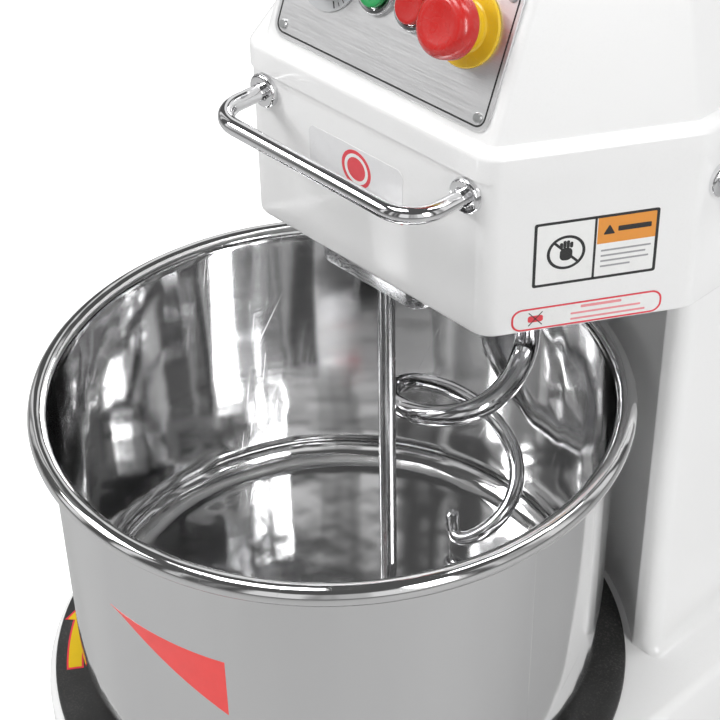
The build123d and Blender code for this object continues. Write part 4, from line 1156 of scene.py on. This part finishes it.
def above(base, *parts):
    # parts of a turned profile, joined, with their heights counted from a base
    return np.vstack([np.asarray(part, float) for part in parts]) + (0.0, base)


def panelMesh(look):
    # a thin brushed plate with a tiny bevel all round
    thick, edge = look["thick"], look["edge"]
    middle = onFace((0, look["low"] + look["height"] / 2))
    levels = [(0.0, 0.0), (0.0, thick - edge), (edge, thick)]
    rows = []
    for inset, height in levels:
        flat = panelShape(inset)
        rows.append(middle + flat[:, :1] * faceRight + flat[:, 1:] * faceUp + height * faceOut)
    rows = [np.repeat(middle[None], len(rows[0]), axis=0)] + rows + [
        np.repeat((middle + thick * faceOut)[None], len(rows[0]), axis=0)]
    return surface("controlPanel", np.stack(rows))


place(panelMesh(panelLook), brushedPlate, "body", ["control_panel"])
panelMiddle = onFace((0, panelLook["low"] + panelLook["height"] / 2), panelLook["thick"])
lineRings = [panelShape(inset) for inset in (panelLook["lineIn"],
                                             panelLook["lineIn"] + panelLook["line"])]
place(rimPlate("panelLine", *lineRings, panelMiddle, faceRight, faceUp, -0.0002, 0.00006),
      blackInk, "body")


def faceTurned(name, profile, where, around=72, loopU=False, sharp=32, ripple=None):
    return turned(name, profile, onFace(where), faceOut, around=around, loopU=loopU, sharp=sharp,
                  ripple=ripple)


panelTop = panelLook["thick"]
dialProfile = above(panelTop, [(0, 0), (0.0246, 0), (0.025, 0.0004), (0.0248, 0.0012),
                               (0, 0.0012)])
place(faceTurned("timerDial", dialProfile, controlAt["timer"], around=96), dialPrint, "body",
      ["timer_dial"])

dialLook = {"marks": 31, "inner": 0.0192, "outer": 0.0235, "sweep": 300.0}


def dialMarks(look):
    # one small bar for each step of the sweep, longer at every fifth
    bars = []
    for step in range(look["marks"]):
        turn = math.radians(240 - look["sweep"] * step / (look["marks"] - 1))
        long = step % 5 == 0
        out = np.array([math.cos(turn), math.sin(turn)])
        side = np.array([-out[1], out[0]])
        half = 0.00045 if long else 0.00025
        start = look["inner"] if long else look["inner"] + 0.0018
        ring = np.array([out * start - side * half, out * look["outer"] - side * half,
                         out * look["outer"] + side * half, out * start + side * half])
        bars.append(prism("bar", ring, onFace(controlAt["timer"]), faceRight, faceUp,
                          panelTop + 0.0010, panelTop + 0.00127))
    return joined("dialMarks", bars)


place(dialMarks(dialLook), blackInk, "body")

knobLook = {"skirt": 0.017, "grip": 0.014, "foot": 0.0031, "shaft": 0.003, "shaftEnd": -0.015,
            "flutes": 24, "depth": 0.045}


def knobRipple(angle, height):
    # shallow flutes round the grip, none on the skirt, the shaft or the crown
    grip = ((height > knobLook["foot"] + 0.0035) & (height < knobLook["foot"] + 0.0145))[:, None]
    return 1 - knobLook["depth"] * grip * (0.5 + 0.5 * np.cos(knobLook["flutes"] * angle)) ** 2


knobFoot, knobSkirt, shaft = knobLook["foot"], knobLook["skirt"], knobLook["shaft"]
knobProfile = np.vstack([
    [(0, knobLook["shaftEnd"]), (shaft, knobLook["shaftEnd"])],
    above(knobFoot, [(shaft, 0), (knobSkirt - 0.0004, 0), (knobSkirt, 0.0004), (knobSkirt, 0.0024),
                     (knobSkirt - 0.0006, 0.003), (0.0146, 0.0032), (knobLook["grip"], 0.004)],
          spread((0.0139, 0.005), (0.0134, 0.0140), 6), arc((0.0118, 0.0144), 0.0015, 0, 90, 6),
          [(0.0108, 0.0159), (0.0104, 0.0153), (0, 0.0153)])])
place(faceTurned("timerKnob", knobProfile, controlAt["timer"], around=192, ripple=knobRipple,
                 sharp=50),
      blackMoulded, "timer_knob", ["timer_knob"])
pointerRing = roundedBox(0.0016, 0.0072, 0.0007, 4) + np.array([0, 0.0092])
place(prism("knobPointer", pointerRing, onFace(controlAt["timer"]), faceRight, faceUp,
            knobFoot + 0.0150, knobFoot + 0.01595), whiteFilm, "timer_knob")

bezelProfile = above(panelTop, [(0.0108, 0), (0.0145, 0), (0.0145, 0.0018)],
                     arc((0.0133, 0.0018), 0.0012, 0, 90, 5), [(0.0116, 0.0030), (0.0108, 0.0022)])
bezelBarrel = [(0.0081, -0.008), (0.011, -0.008), (0.011, panelTop), (0.0081, panelTop)]
bezels = [faceTurned("ring", profile, controlAt[which], loopU=True)
          for which in ("start", "stop") for profile in (bezelProfile, bezelBarrel)]
place(joined("buttonBezels", bezels), rodChrome, "body", ["button_bezels"])

buttonFoot = panelTop + 0.0034
buttonProfile = np.vstack([
    [(0, -0.0085), (0.0076, -0.0085)],
    above(buttonFoot, [(0.0076, 0), (0.0100, 0), (0.0104, 0.0004), (0.0104, 0.0022)],
          arc((0.0092, 0.0022), 0.0012, 0, 78, 5),
          [(0.0078, 0.0033), (0.0050, 0.0030), (0, 0.0028)])])
place(faceTurned("startButton", buttonProfile, controlAt["start"]), greenMoulded, "start_button",
      ["start_button"])
place(faceTurned("stopButton", buttonProfile, controlAt["stop"]), redMoulded, "stop_button",
      ["stop_button"])

collarProfile = np.vstack([
    [(0.0074, -0.008), (0.011, -0.008)],
    above(panelTop, [(0.011, 0), (0.0226, 0), (0.023, 0.0004), (0.023, 0.0014), (0.0224, 0.002),
                     (0.0150, 0.0022), (0.0140, 0.0030), (0.0140, 0.0062), (0.0132, 0.007),
                     (0.0074, 0.007)])])
place(faceTurned("estopCollar", collarProfile, controlAt["estop"], around=96, loopU=True),
      yellowMoulded,
      "body", ["estop_collar"])

capFoot = panelTop + 0.0124
mushroomProfile = above(capFoot, [(0, 0.0091), (0.00505, 0.0091), (0.00505, 0), (0.0170, 0)],
                        arc((0.0170, 0.002), 0.002, -90, 0, 6)[1:],
                        arc((0.0120, 0.0070), 0.0070, 0, 78, 12)[1:],
                        [(0.0104, 0.0134), (0.0060, 0.0129), (0, 0.0127)])


def mushroomRipple(angle, height):
    # three shallow scoops round the crown, to turn it by
    crown = np.clip((height - capFoot - 0.004) / 0.006, 0, 1)[:, None]
    return 1 - 0.03 * crown * (0.5 + 0.5 * np.cos(3 * angle)) ** 3


place(faceTurned("estopMushroom", mushroomProfile, controlAt["estop"], around=96,
                 ripple=mushroomRipple), redMoulded, "estop_mushroom",
      ["estop_mushroom"])

lampProfile = np.vstack([
    [(0, -0.010), (0.0039, -0.010)],
    above(panelTop, [(0.0039, 0), (0.006, 0), (0.006, 0.0014), (0.0054, 0.002), (0.0044, 0.002),
                     (0.0044, 0.0042)], arc((0.0024, 0.0040), 0.0020, 0, 90, 7), [(0, 0.0061)])])
place(faceTurned("pilotLamp", lampProfile, controlAt["lamp"], around=48), lampLens, "body",
      ["pilot_lamp"])
print("controls built")


# ---- decals on the head and the deck ----

facetFoot = np.array([axisX + headLook["frontHalf"], axisY + headLook["front"], 0.0])
facetRight = unit([headLook["half"] - headLook["frontHalf"],
                   headLook["facetBack"] - headLook["front"], 0])
facetUp = np.array([0, 0, 1.0])
film = 0.00015
inkLow, inkHigh = film - 0.0001, film + 0.00006          # a printed layer starts within its film


def onFacet(along, height):
    # a place on the right facet: along it from its front corner, and above the rim's middle
    return facetFoot + along * facetRight + (rimHeight + height) * facetUp


def inked(shape, middle, rise=0.0, name="line"):
    # a printed patch on the right facet
    return prism(name, shape, middle, facetRight, facetUp, inkLow, inkHigh + rise)


def inkedRim(outer, inner, middle):
    return rimPlate("line", outer, inner, middle, facetRight, facetUp, inkLow, inkHigh)


def slanted(width, height, corner, degrees, at, perCorner=8):
    turn = math.radians(degrees)
    swing = np.array([[math.cos(turn), math.sin(turn)], [-math.sin(turn), math.cos(turn)]])
    return roundedBox(width, height, corner, perCorner) @ swing + at


def facetFilm(name, shape, middle):
    place(prism(name, shape, middle, facetRight, facetUp, -0.0002, film), whiteFilm, "body")


labelLook = {"from": 0.028, "to": 0.1035, "low": 0.106, "high": 0.1505, "split": 0.065,
             "header": 0.130,
             "border": 0.0018, "ring": 0.048, "ringOut": 0.0115, "ringIn": 0.0097,
             "fingers": (-0.0042, -0.0014, 0.0014, 0.0042),
             "bars": ((0.0, 0.030), (-0.0036, 0.027), (-0.0072, 0.029), (-0.0108, 0.018))}


def labelPieces(look):
    # a plain two-part notice: a barred hand on the left, a coloured header and grey bars right
    centre, border = (look["from"] + look["to"]) / 2, look["border"]
    width, height = look["to"] - look["from"], look["high"] - look["low"]
    middle = onFacet(centre, (look["low"] + look["high"]) / 2)
    splitX, ringAt = look["split"] - centre, np.array([look["ring"] - centre, 0])
    circle = arc((0, 0), 1, 0, 352.5, 48)
    facetFilm("noticeFilm", roundedBox(width, height, 0.002), middle)
    outer = roundedBox(width - 0.001, height - 0.001, 0.0016)
    inner = roundedBox(width - 0.001 - 2 * border, height - 0.001 - 2 * border, 0.0008)
    dark = [inkedRim(outer, inner, middle),
            inked(roundedBox(border * 0.8, height - 0.002, 0.0002, at=(splitX, 0)), middle),
            inkedRim(circle * look["ringOut"] + ringAt, circle * look["ringIn"] + ringAt, middle),
            inked(slanted(0.0205, 0.0016, 0.0002, -45, ringAt), middle, 0.00004),
            inked(roundedBox(0.0075, 0.0085, 0.003, at=ringAt + (0, -0.0012)), middle)]
    for step, left in enumerate(look["fingers"]):
        tall = 0.0052 if step in (1, 2) else 0.0040
        at = ringAt + (left * 0.72, 0.0028 + tall / 2)
        dark.append(inked(roundedBox(0.0019, tall, 0.0009, 4, at), middle))
    pale = [inked(roundedBox(long, 0.0012, 0.0002, 3, (splitX + 0.004 + long / 2, -0.0025 + drop)),
                  middle, -0.00002) for drop, long in look["bars"]]
    place(joined("noticePrint", dark), blackInk, "body")
    place(joined("noticeBars", pale), greyInk, "body")
    headerWide = look["to"] - look["split"] - 0.003
    headerTall = look["high"] - look["header"] - 0.0025
    shift = np.array([splitX + 0.0012 + headerWide / 2, height / 2 - 0.0019 - headerTall / 2])
    triangle = outlineOf([(-0.0036, -0.0030), (0.0036, -0.0030), (0.0, 0.0036)], 0.0005)
    for name, shape, rise, ink in (
            ("noticeHeader", roundedBox(headerWide, headerTall, 0.0004, at=shift), -0.00003,
             orangeInk),
            ("noticeTriangle", triangle + shift + (0.007 - headerWide / 2, 0), 0.00004, blackInk),
            ("noticeBar", roundedBox(0.020, 0.0034, 0.0006, at=shift + (0.0045, 0)), 0.00002,
             blackInk)):
        place(inked(shape, middle, rise, name), ink, "body")


labelPieces(labelLook)

# each bar of the capsule: height, left end, right end, thickness
capsuleLook = {"from": 0.017, "to": 0.109, "middle": 0.0845, "height": 0.0155, "line": 0.0012,
               "mark": 0.0316, "round": 0.42,
               "bars": ((0.0042, -0.004, 0.021, 0.0019), (-0.0001, -0.010, 0.033, 0.0014),
                        (-0.0040, -0.010, 0.036, 0.0014))}


def capsulePieces(look):
    # a long rounded notice: a red outline, a small crossed mark and rows of plain red bars
    centre, tall, line = (look["from"] + look["to"]) / 2, look["height"], look["line"]
    width, corner = look["to"] - look["from"], tall * look["round"]
    middle = onFacet(centre, look["middle"])
    markAt = np.array([look["mark"] - centre, 0])
    shape = roundedBox(width, tall, corner)
    facetFilm("capsuleFilm", shape, middle)
    red = [inkedRim(shape, roundedBox(width - 2 * line, tall - 2 * line, corner - line), middle),
           inked(roundedBox(0.0092, 0.0046, 0.0015, at=markAt), middle)]
    pale = [inked(roundedBox(end - start, thick, 0.0005, 3, ((start + end) / 2, row)), middle,
                  -0.00002)
            for row, start, end, thick in look["bars"]]
    cross = [inked(slanted(0.0125, 0.0006, 0.0002, degrees, markAt, 3), middle, 0.00004)
             for degrees in (48, -48)]
    place(joined("capsulePrint", red), redInk, "body")
    place(joined("capsuleBars", pale), paleRedInk, "body")
    place(joined("capsuleCross", cross), blackInk, "body")


capsulePieces(capsuleLook)

badgeLook = {"from": -0.0465, "to": 0.0335, "low": 0.126, "high": 0.160, "discX": -0.0055,
             "discZ": 0.1455,
             "disc": 0.0125}
frontFoot = np.array([axisX, axisY + headLook["front"], rimHeight])
frontRight, frontUp = (1, 0, 0), (0, 0, 1)
badgeMiddle = frontFoot + np.array([(badgeLook["from"] + badgeLook["to"]) / 2, 0,
                                    (badgeLook["low"] + badgeLook["high"]) / 2])
place(prism("badgeFilm", roundedBox(badgeLook["to"] - badgeLook["from"],
                                    badgeLook["high"] - badgeLook["low"],
                                    0.005), badgeMiddle, frontRight, frontUp, -0.0002, 0.00018),
      clearFilm, "body")
discMiddle = frontFoot + np.array([badgeLook["discX"], 0, badgeLook["discZ"]])
place(prism("badgeDisc", arc((0, 0), badgeLook["disc"], 0, 354, 60), discMiddle, frontRight,
            frontUp, 0.0,
            0.00024), redInk, "body")
place(rimPlate("badgeRing", arc((0, 0), badgeLook["disc"] * 0.8, 0, 354, 60),
               arc((0, 0), badgeLook["disc"] * 0.62, 0, 354, 60), discMiddle, frontRight, frontUp,
               0.0001,
               0.00028), whiteFilm, "body")
place(prism("badgeLine", roundedBox(0.072, 0.0016, 0.0006, 4),
            badgeMiddle + np.array([0.004, 0, -0.0185]),
            frontRight, frontUp, -0.0002, 0.0001), redInk, "body")

arrowLook = {"inner": 0.181, "outer": 0.190, "start": -125.0, "end": -139.0, "tip": -147.0,
             "barb": 0.0052}


def deckSector(name, inner, outer, start, end, low, high):
    # a flat piece of a ring on the deck
    turn = np.radians(np.linspace(start, end, 24))
    rows = [np.stack([axisX + radius * np.cos(turn), axisY + radius * np.sin(turn),
                      np.full(24, deckHigh[2] + height)], axis=1)
            for radius, height in ((inner, high), (outer, high), (outer, low), (inner, low))]
    return capped(name, np.stack(rows, axis=1))


def deckHead(name, grow, low, high):
    # the arrow's head: a triangle across the band, pointing on round the deck
    look = arrowLook
    middle = (look["inner"] + look["outer"]) / 2
    turn = np.radians([look["end"] + grow * 40, look["end"] + grow * 40, look["tip"] - grow * 60])
    reach = np.array([look["inner"] - look["barb"] - grow, look["outer"] + look["barb"] + grow,
                      middle])
    flat = np.stack([reach * np.cos(turn), reach * np.sin(turn)], axis=1)
    return prism(name, flat, (axisX, axisY, deckHigh[2]), (1, 0, 0), (0, 1, 0), low, high)


place(joined("arrowEdge", [deckSector("line", arrowLook["inner"] - 0.0013,
                                      arrowLook["outer"] + 0.0013,
                                      arrowLook["start"] + 0.5, arrowLook["end"], -0.0001,
                                      0.00010),
                           deckHead("line", 0.0022, -0.0001, 0.00012)]), redInk, "body")
place(joined("arrowFill", [deckSector("line", arrowLook["inner"], arrowLook["outer"],
                                      arrowLook["start"],
                                      arrowLook["end"] - 0.8, 0.0, 0.00018),
                           deckHead("line", 0.0, 0.0, 0.00020)]), arrowInk, "body")
print("decals built")


# ---- rear cover, feet, gland ----

rearLow, rearHigh = boxOf("rear_cover")
rearLook = {"hood": 0.0045, "louvreHalf": 0.045, "rows": 9, "step": 0.014,
            "columns": (-0.06, 0.06),
            "middle": 0.040, "hoodTall": 0.0085}


def rearCoverMesh(look):
    # a flat plate with louvres pressed out: each swells smoothly and stops short at its lower lip
    width, height = rearHigh[0] - rearLow[0], rearHigh[2] - rearLow[2]
    middleX, middleZ = (rearLow[0] + rearHigh[0]) / 2, (rearLow[2] + rearHigh[2]) / 2
    xs = np.unique(np.round(np.concatenate([
        [-width / 2, width / 2, -width / 2 + 0.0008, width / 2 - 0.0008],
        *[side + np.concatenate([np.linspace(-0.046, -0.036, 8), np.linspace(-0.03, 0.03, 7),
                                 np.linspace(0.036, 0.046, 8)]) for side in look["columns"]]]), 6))
    centres = look["middle"] + (np.arange(look["rows"]) - (look["rows"] - 1) / 2) * look["step"]
    inRow = np.array([-0.0046, -0.0042, -0.0038, -0.003, -0.0015, 0.0, 0.0015, 0.003, 0.0042])
    zs = np.unique(np.round(np.concatenate([
        [-height / 2, height / 2, -height / 2 + 0.0008, height / 2 - 0.0008],
        (centres[:, None] + inRow).ravel()]), 6))
    gridX, gridZ = np.meshgrid(xs, zs)
    lift = np.zeros_like(gridX)
    for side in look["columns"]:
        for centre in centres:
            u = np.clip(1 - ((gridX - side) / look["louvreHalf"]) ** 6, 0, 1)
            v = (gridZ - centre) / (look["hoodTall"] / 2)
            bulge = np.where((v > -0.95) & (v < 1),
                             np.cos(np.clip((v + 0.95) / 1.95, 0, 1) * np.pi / 2) ** 0.8, 0)
            lift = np.maximum(lift, look["hood"] * u * bulge)
    back = rearHigh[1] + lift
    front = np.full_like(back, rearLow[1])
    outer = np.stack([middleX + gridX, back, middleZ + gridZ], axis=-1)
    inner = np.stack([middleX + gridX, front + lift * 0.9, middleZ + gridZ], axis=-1)
    rows, columns = gridX.shape
    index = np.arange(rows * columns).reshape(rows, columns)
    quads = np.stack([index[:-1, :-1], index[:-1, 1:], index[1:, 1:], index[1:, :-1]],
                     axis=-1).reshape(-1, 4)
    rim = np.concatenate([index[0, :-1], index[:-1, -1], index[-1, :0:-1], index[:0:-1, 0]])
    total = rows * columns
    skirt = np.stack([rim, rim + total, np.roll(rim, -1) + total, np.roll(rim, -1)], axis=-1)
    faces = np.concatenate([quads[:, ::-1], quads + total, skirt])
    mesh = bpy.data.meshes.new("rearCover")
    mesh.from_pydata(np.concatenate([outer.reshape(-1, 3), inner.reshape(-1, 3)]).tolist(), [],
                     faces.tolist())
    return tidyMesh(mesh, 35)


place(rearCoverMesh(rearLook), rearPaint, "body", ["rear_cover"])

footLow, footHigh = boxOf("rubber_feet")
footLook = {"radius": 0.024, "top": 0.0193, "bore": 0.009, "groove": 0.0008}


def footMeshes(look):
    # four tapered rubber feet with a ribbed side and a hollow for the bolt
    tall = footHigh[2]
    sides = spread((look["radius"], 0.003), (look["top"], tall - 0.001), 12)
    sides[:, 0] -= look["groove"] * (0.5 + 0.5 * np.cos(np.linspace(0, 6 * np.pi, 12)))
    profile = np.vstack([[(look["bore"], 0.0), (look["radius"] - 0.002, 0.0),
                          (look["radius"], 0.0018)], sides,
                         [(look["top"] - 0.0014, tall), (0.0042, tall), (0.0042, 0.010),
                          (look["bore"], 0.010)]])
    xs = (footLow[0] + look["radius"], footHigh[0] - look["radius"])
    ys = (footLow[1] + look["radius"], footHigh[1] - look["radius"])
    return joined("rubberFeet", [turned("foot", profile, (x, y, 0), (0, 0, 1), around=56,
                                        loopU=True)
                                 for x in xs for y in ys])


place(footMeshes(footLook), footRubber, "body", ["rubber_feet"])

glandLow, glandHigh = boxOf("cable_gland")
glandAt = ((glandLow[0] + glandHigh[0]) / 2, glandLow[1], (glandLow[2] + glandHigh[2]) / 2)
glandLook = {"flange": 0.0125, "neck": 0.0095, "tip": 0.008, "bore": 0.004, "ribs": 10}


def glandRipple(angle, height):
    # grip ribs round the clamping nut
    nut = ((height > 0.0135) & (height < 0.029))[:, None]
    return 1 - 0.05 * nut * (0.5 + 0.5 * np.cos(glandLook["ribs"] * angle))


glandLong = glandHigh[1] - glandLow[1]
glandProfile = np.vstack([[(glandLook["bore"], 0), (glandLook["tip"], 0),
                           (glandLook["tip"], 0.008),
                           (glandLook["flange"], 0.008), (glandLook["flange"], 0.0125),
                           (glandLook["neck"], 0.013)],
                          spread((glandLook["neck"], 0.0136), (glandLook["neck"], 0.0288), 6),
                          [(glandLook["tip"], glandLong - 0.008),
                           (glandLook["tip"] - 0.0004, glandLong - 0.003),
                           (0.0062, glandLong), (glandLook["bore"], glandLong)]])
place(turned("cableGland", glandProfile, glandAt, (0, 1, 0), around=80, loopU=True,
             ripple=glandRipple),
      blackMoulded, "body", ["cable_gland"])
print("rear pieces built")


# ---- finishes of the CAD nodes that stay ----

kept = [
    (machinedSteel, ["bowl_turntable", "bowl_spindle", "spiral_spindle", "main_shaft",
                     "head_carrier_plate"]),
    (castIron, ["bowl_bearing_housing", "spindle_housing"]),
    (bearingSteel, ["bowl_bearings", "spindle_bearings", "main_shaft_bearings"]),
    (oiledSteel, ["bowl_sprocket", "spiral_sprocket", "lower_drive_sprocket",
                  "upper_drive_sprocket",
                  "lower_chain", "upper_chain"]),
    (zincPlate, ["bowl_bolts", "bracket_bolts", "cover_screws", "drive_bolts", "foot_bolts",
                 "panel_screws"]),
    (framePaint, ["chassis", "column_uprights", "gearbox_rails"]),
    (gearboxPaint, ["gearbox"]),
    (cowlPaint, ["motor", "motor_fan_cowl"]),
    (greyMoulded, ["electrical_box", "electrical_box_lid"]),
    (blackMoulded, ["contact_blocks", "timer_body", "estop_plunger"]),
]
finishOf = {node: finish for finish, nodes in kept for node in nodes}
for node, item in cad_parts.items():
    if node in finishOf:
        for slotIndex in range(len(item.data.materials)):
            item.data.materials[slotIndex] = finishOf[node]
        if not len(item.data.materials):
            item.data.materials.append(finishOf[node])
    elif not item.hide_render:
        print("without a finish:", node)
print("kept nodes finished:", len(finishOf))


# ---- stage: floor, world, lights and camera ----

stageLook = {"floorHalf": 30.0, "glow": 0.3, "mirrored": rgb(0.42, 0.42, 0.42), "backdrop": 1.0}


def floorMesh(half):
    # one large flat sheet under the object
    grid = np.array([[(-half, -half, 0), (half, -half, 0)], [(-half, half, 0), (half, half, 0)]],
                    float)
    mesh = bpy.data.meshes.new("studioFloor")
    mesh.from_pydata(grid.reshape(-1, 3).tolist(), [], [(0, 1, 3, 2)])
    return mesh


floorFinish = castFinish("floorPaper", {
    "colour": rgb(0.93, 0.93, 0.93), "shade": rgb(0.9, 0.9, 0.9), "rough": (0.7, 0.8), "dust": 0.0,
    "bump": 0.02, "mottle": 3.0})
floorTree = floorFinish.node_tree
floorShader = next(n for n in floorTree.nodes if n.type == "BSDF_PRINCIPLED")
floorPath = floorTree.nodes.new("ShaderNodeLightPath")
floorShader.inputs["Emission Color"].default_value = rgb(1, 1, 1)
floorTree.links.new(sums(floorTree, "MULTIPLY", floorPath.outputs["Is Camera Ray"],
                         stageLook["glow"]),
                    floorShader.inputs["Emission Strength"])
floorTree.links.new(blended(floorTree, floorPath.outputs["Is Glossy Ray"], rgb(0.92, 0.92, 0.92),
                            stageLook["mirrored"]), floorShader.inputs["Base Color"])
floorPiece = bpy.data.objects.new("studioFloor", floorMesh(stageLook["floorHalf"]))
floorPiece.data.materials.append(floorFinish)
bpy.context.scene.collection.objects.link(floorPiece)


# bands: how many, how soft their edges are, how bright; fade: where they end, by direction upwards
worldLook = {"bands": 2.9, "bandEdges": (0.44, 0.56), "bandLight": 0.95, "dark": 0.12,
             "fade": (0.62, 0.70), "softSky": 0.42}


def background(tree, strength):
    sky = tree.nodes.new("ShaderNodeBackground")
    feed(tree, strength, sky.inputs["Strength"])
    return sky.outputs[0]


def mixed(tree, share, a, b):
    mix = tree.nodes.new("ShaderNodeMixShader")
    for socket, source in zip(mix.inputs, (share, a, b)):
        feed(tree, source, socket)
    return mix.outputs[0]


def studioWorld(look):
    # soft and even for the paint; for the metal, a dark room with bright cards round its walls
    world = bpy.data.worlds.new("studioWorld")
    bpy.context.scene.world = world
    world.use_nodes = True
    tree = world.node_tree
    tree.nodes.clear()
    coords = tree.nodes.new("ShaderNodeTexCoord")
    split, flat = flattened(tree, coords.outputs["Generated"])
    aim = vectors(tree, "SCALE", vectors(tree, "NORMALIZE", flat), scale=look["bands"])
    bands = remap(tree, noise(tree, aim, 1.0, 1.0, 0.5), *look["bandEdges"])
    fade = remap(tree, split.outputs["Z"], *look["fade"], 1.0, 0.0)
    cards = sums(tree, "MULTIPLY", sums(tree, "MULTIPLY", bands, fade), look["bandLight"])
    path = tree.nodes.new("ShaderNodeLightPath")
    lit = mixed(tree, path.outputs["Is Glossy Ray"], background(tree, look["softSky"]),
                background(tree, sums(tree, "ADD", cards, look["dark"])))
    seen = mixed(tree, path.outputs["Is Camera Ray"], lit, background(tree, stageLook["backdrop"]))
    output = tree.nodes.new("ShaderNodeOutputWorld")
    tree.links.new(seen, output.inputs[0])


studioWorld(worldLook)

lampLook = {
    "keyPanel": {"at": (-1.5, -1.4, 2.1), "aim": (0, 0, 0.45), "size": (1.0, 1.0), "power": 39},
    "sidePanel": {"at": (2.1, -0.5, 1.6), "aim": (0, 0, 0.5), "size": (0.5, 1.6), "power": 27},
    "topPanel": {"at": (-0.35, -0.45, 2.5), "aim": (0, -0.1, 0), "size": (0.9, 0.7), "power": 15},
    "backPanel": {"at": (0.7, 0.9, 2.4), "aim": (0, 0, 0.2), "size": (0.5, 1.2), "power": 12},
    "rearPanel": {"at": (-1.1, 2.0, 1.5), "aim": (0, 0, 0.5), "size": (1.2, 0.8), "power": 18},
}
for lampName, look in lampLook.items():
    lamp = bpy.data.lights.new(lampName, "AREA")
    lamp.shape = "RECTANGLE"
    lamp.size, lamp.size_y = look["size"]
    lamp.energy = look["power"]
    lampPiece = bpy.data.objects.new(lampName, lamp)
    bpy.context.scene.collection.objects.link(lampPiece)
    lampPiece.location = look["at"]
    lampPiece.rotation_euler = (Vector(look["aim"])
                                - Vector(look["at"])).to_track_quat("-Z", "Y").to_euler()

bpy.context.scene.view_settings.view_transform = "Standard"   # a plain, bright studio look
cameraLook = {"at": (0.6757, -0.7471, 1.1593), "turn": (52.745, 0.951, 46.50), "lens": 91.2}
camera = bpy.data.cameras.new("viewCamera")
camera.lens, camera.sensor_width = cameraLook["lens"], 36.0
camera.clip_start, camera.clip_end = 0.05, 50.0
cameraPiece = bpy.data.objects.new("viewCamera", camera)
bpy.context.scene.collection.objects.link(cameraPiece)
cameraPiece.location = cameraLook["at"]
cameraPiece.rotation_euler = [math.radians(angle) for angle in cameraLook["turn"]]
bpy.context.scene.camera = cameraPiece
print("stage ready")
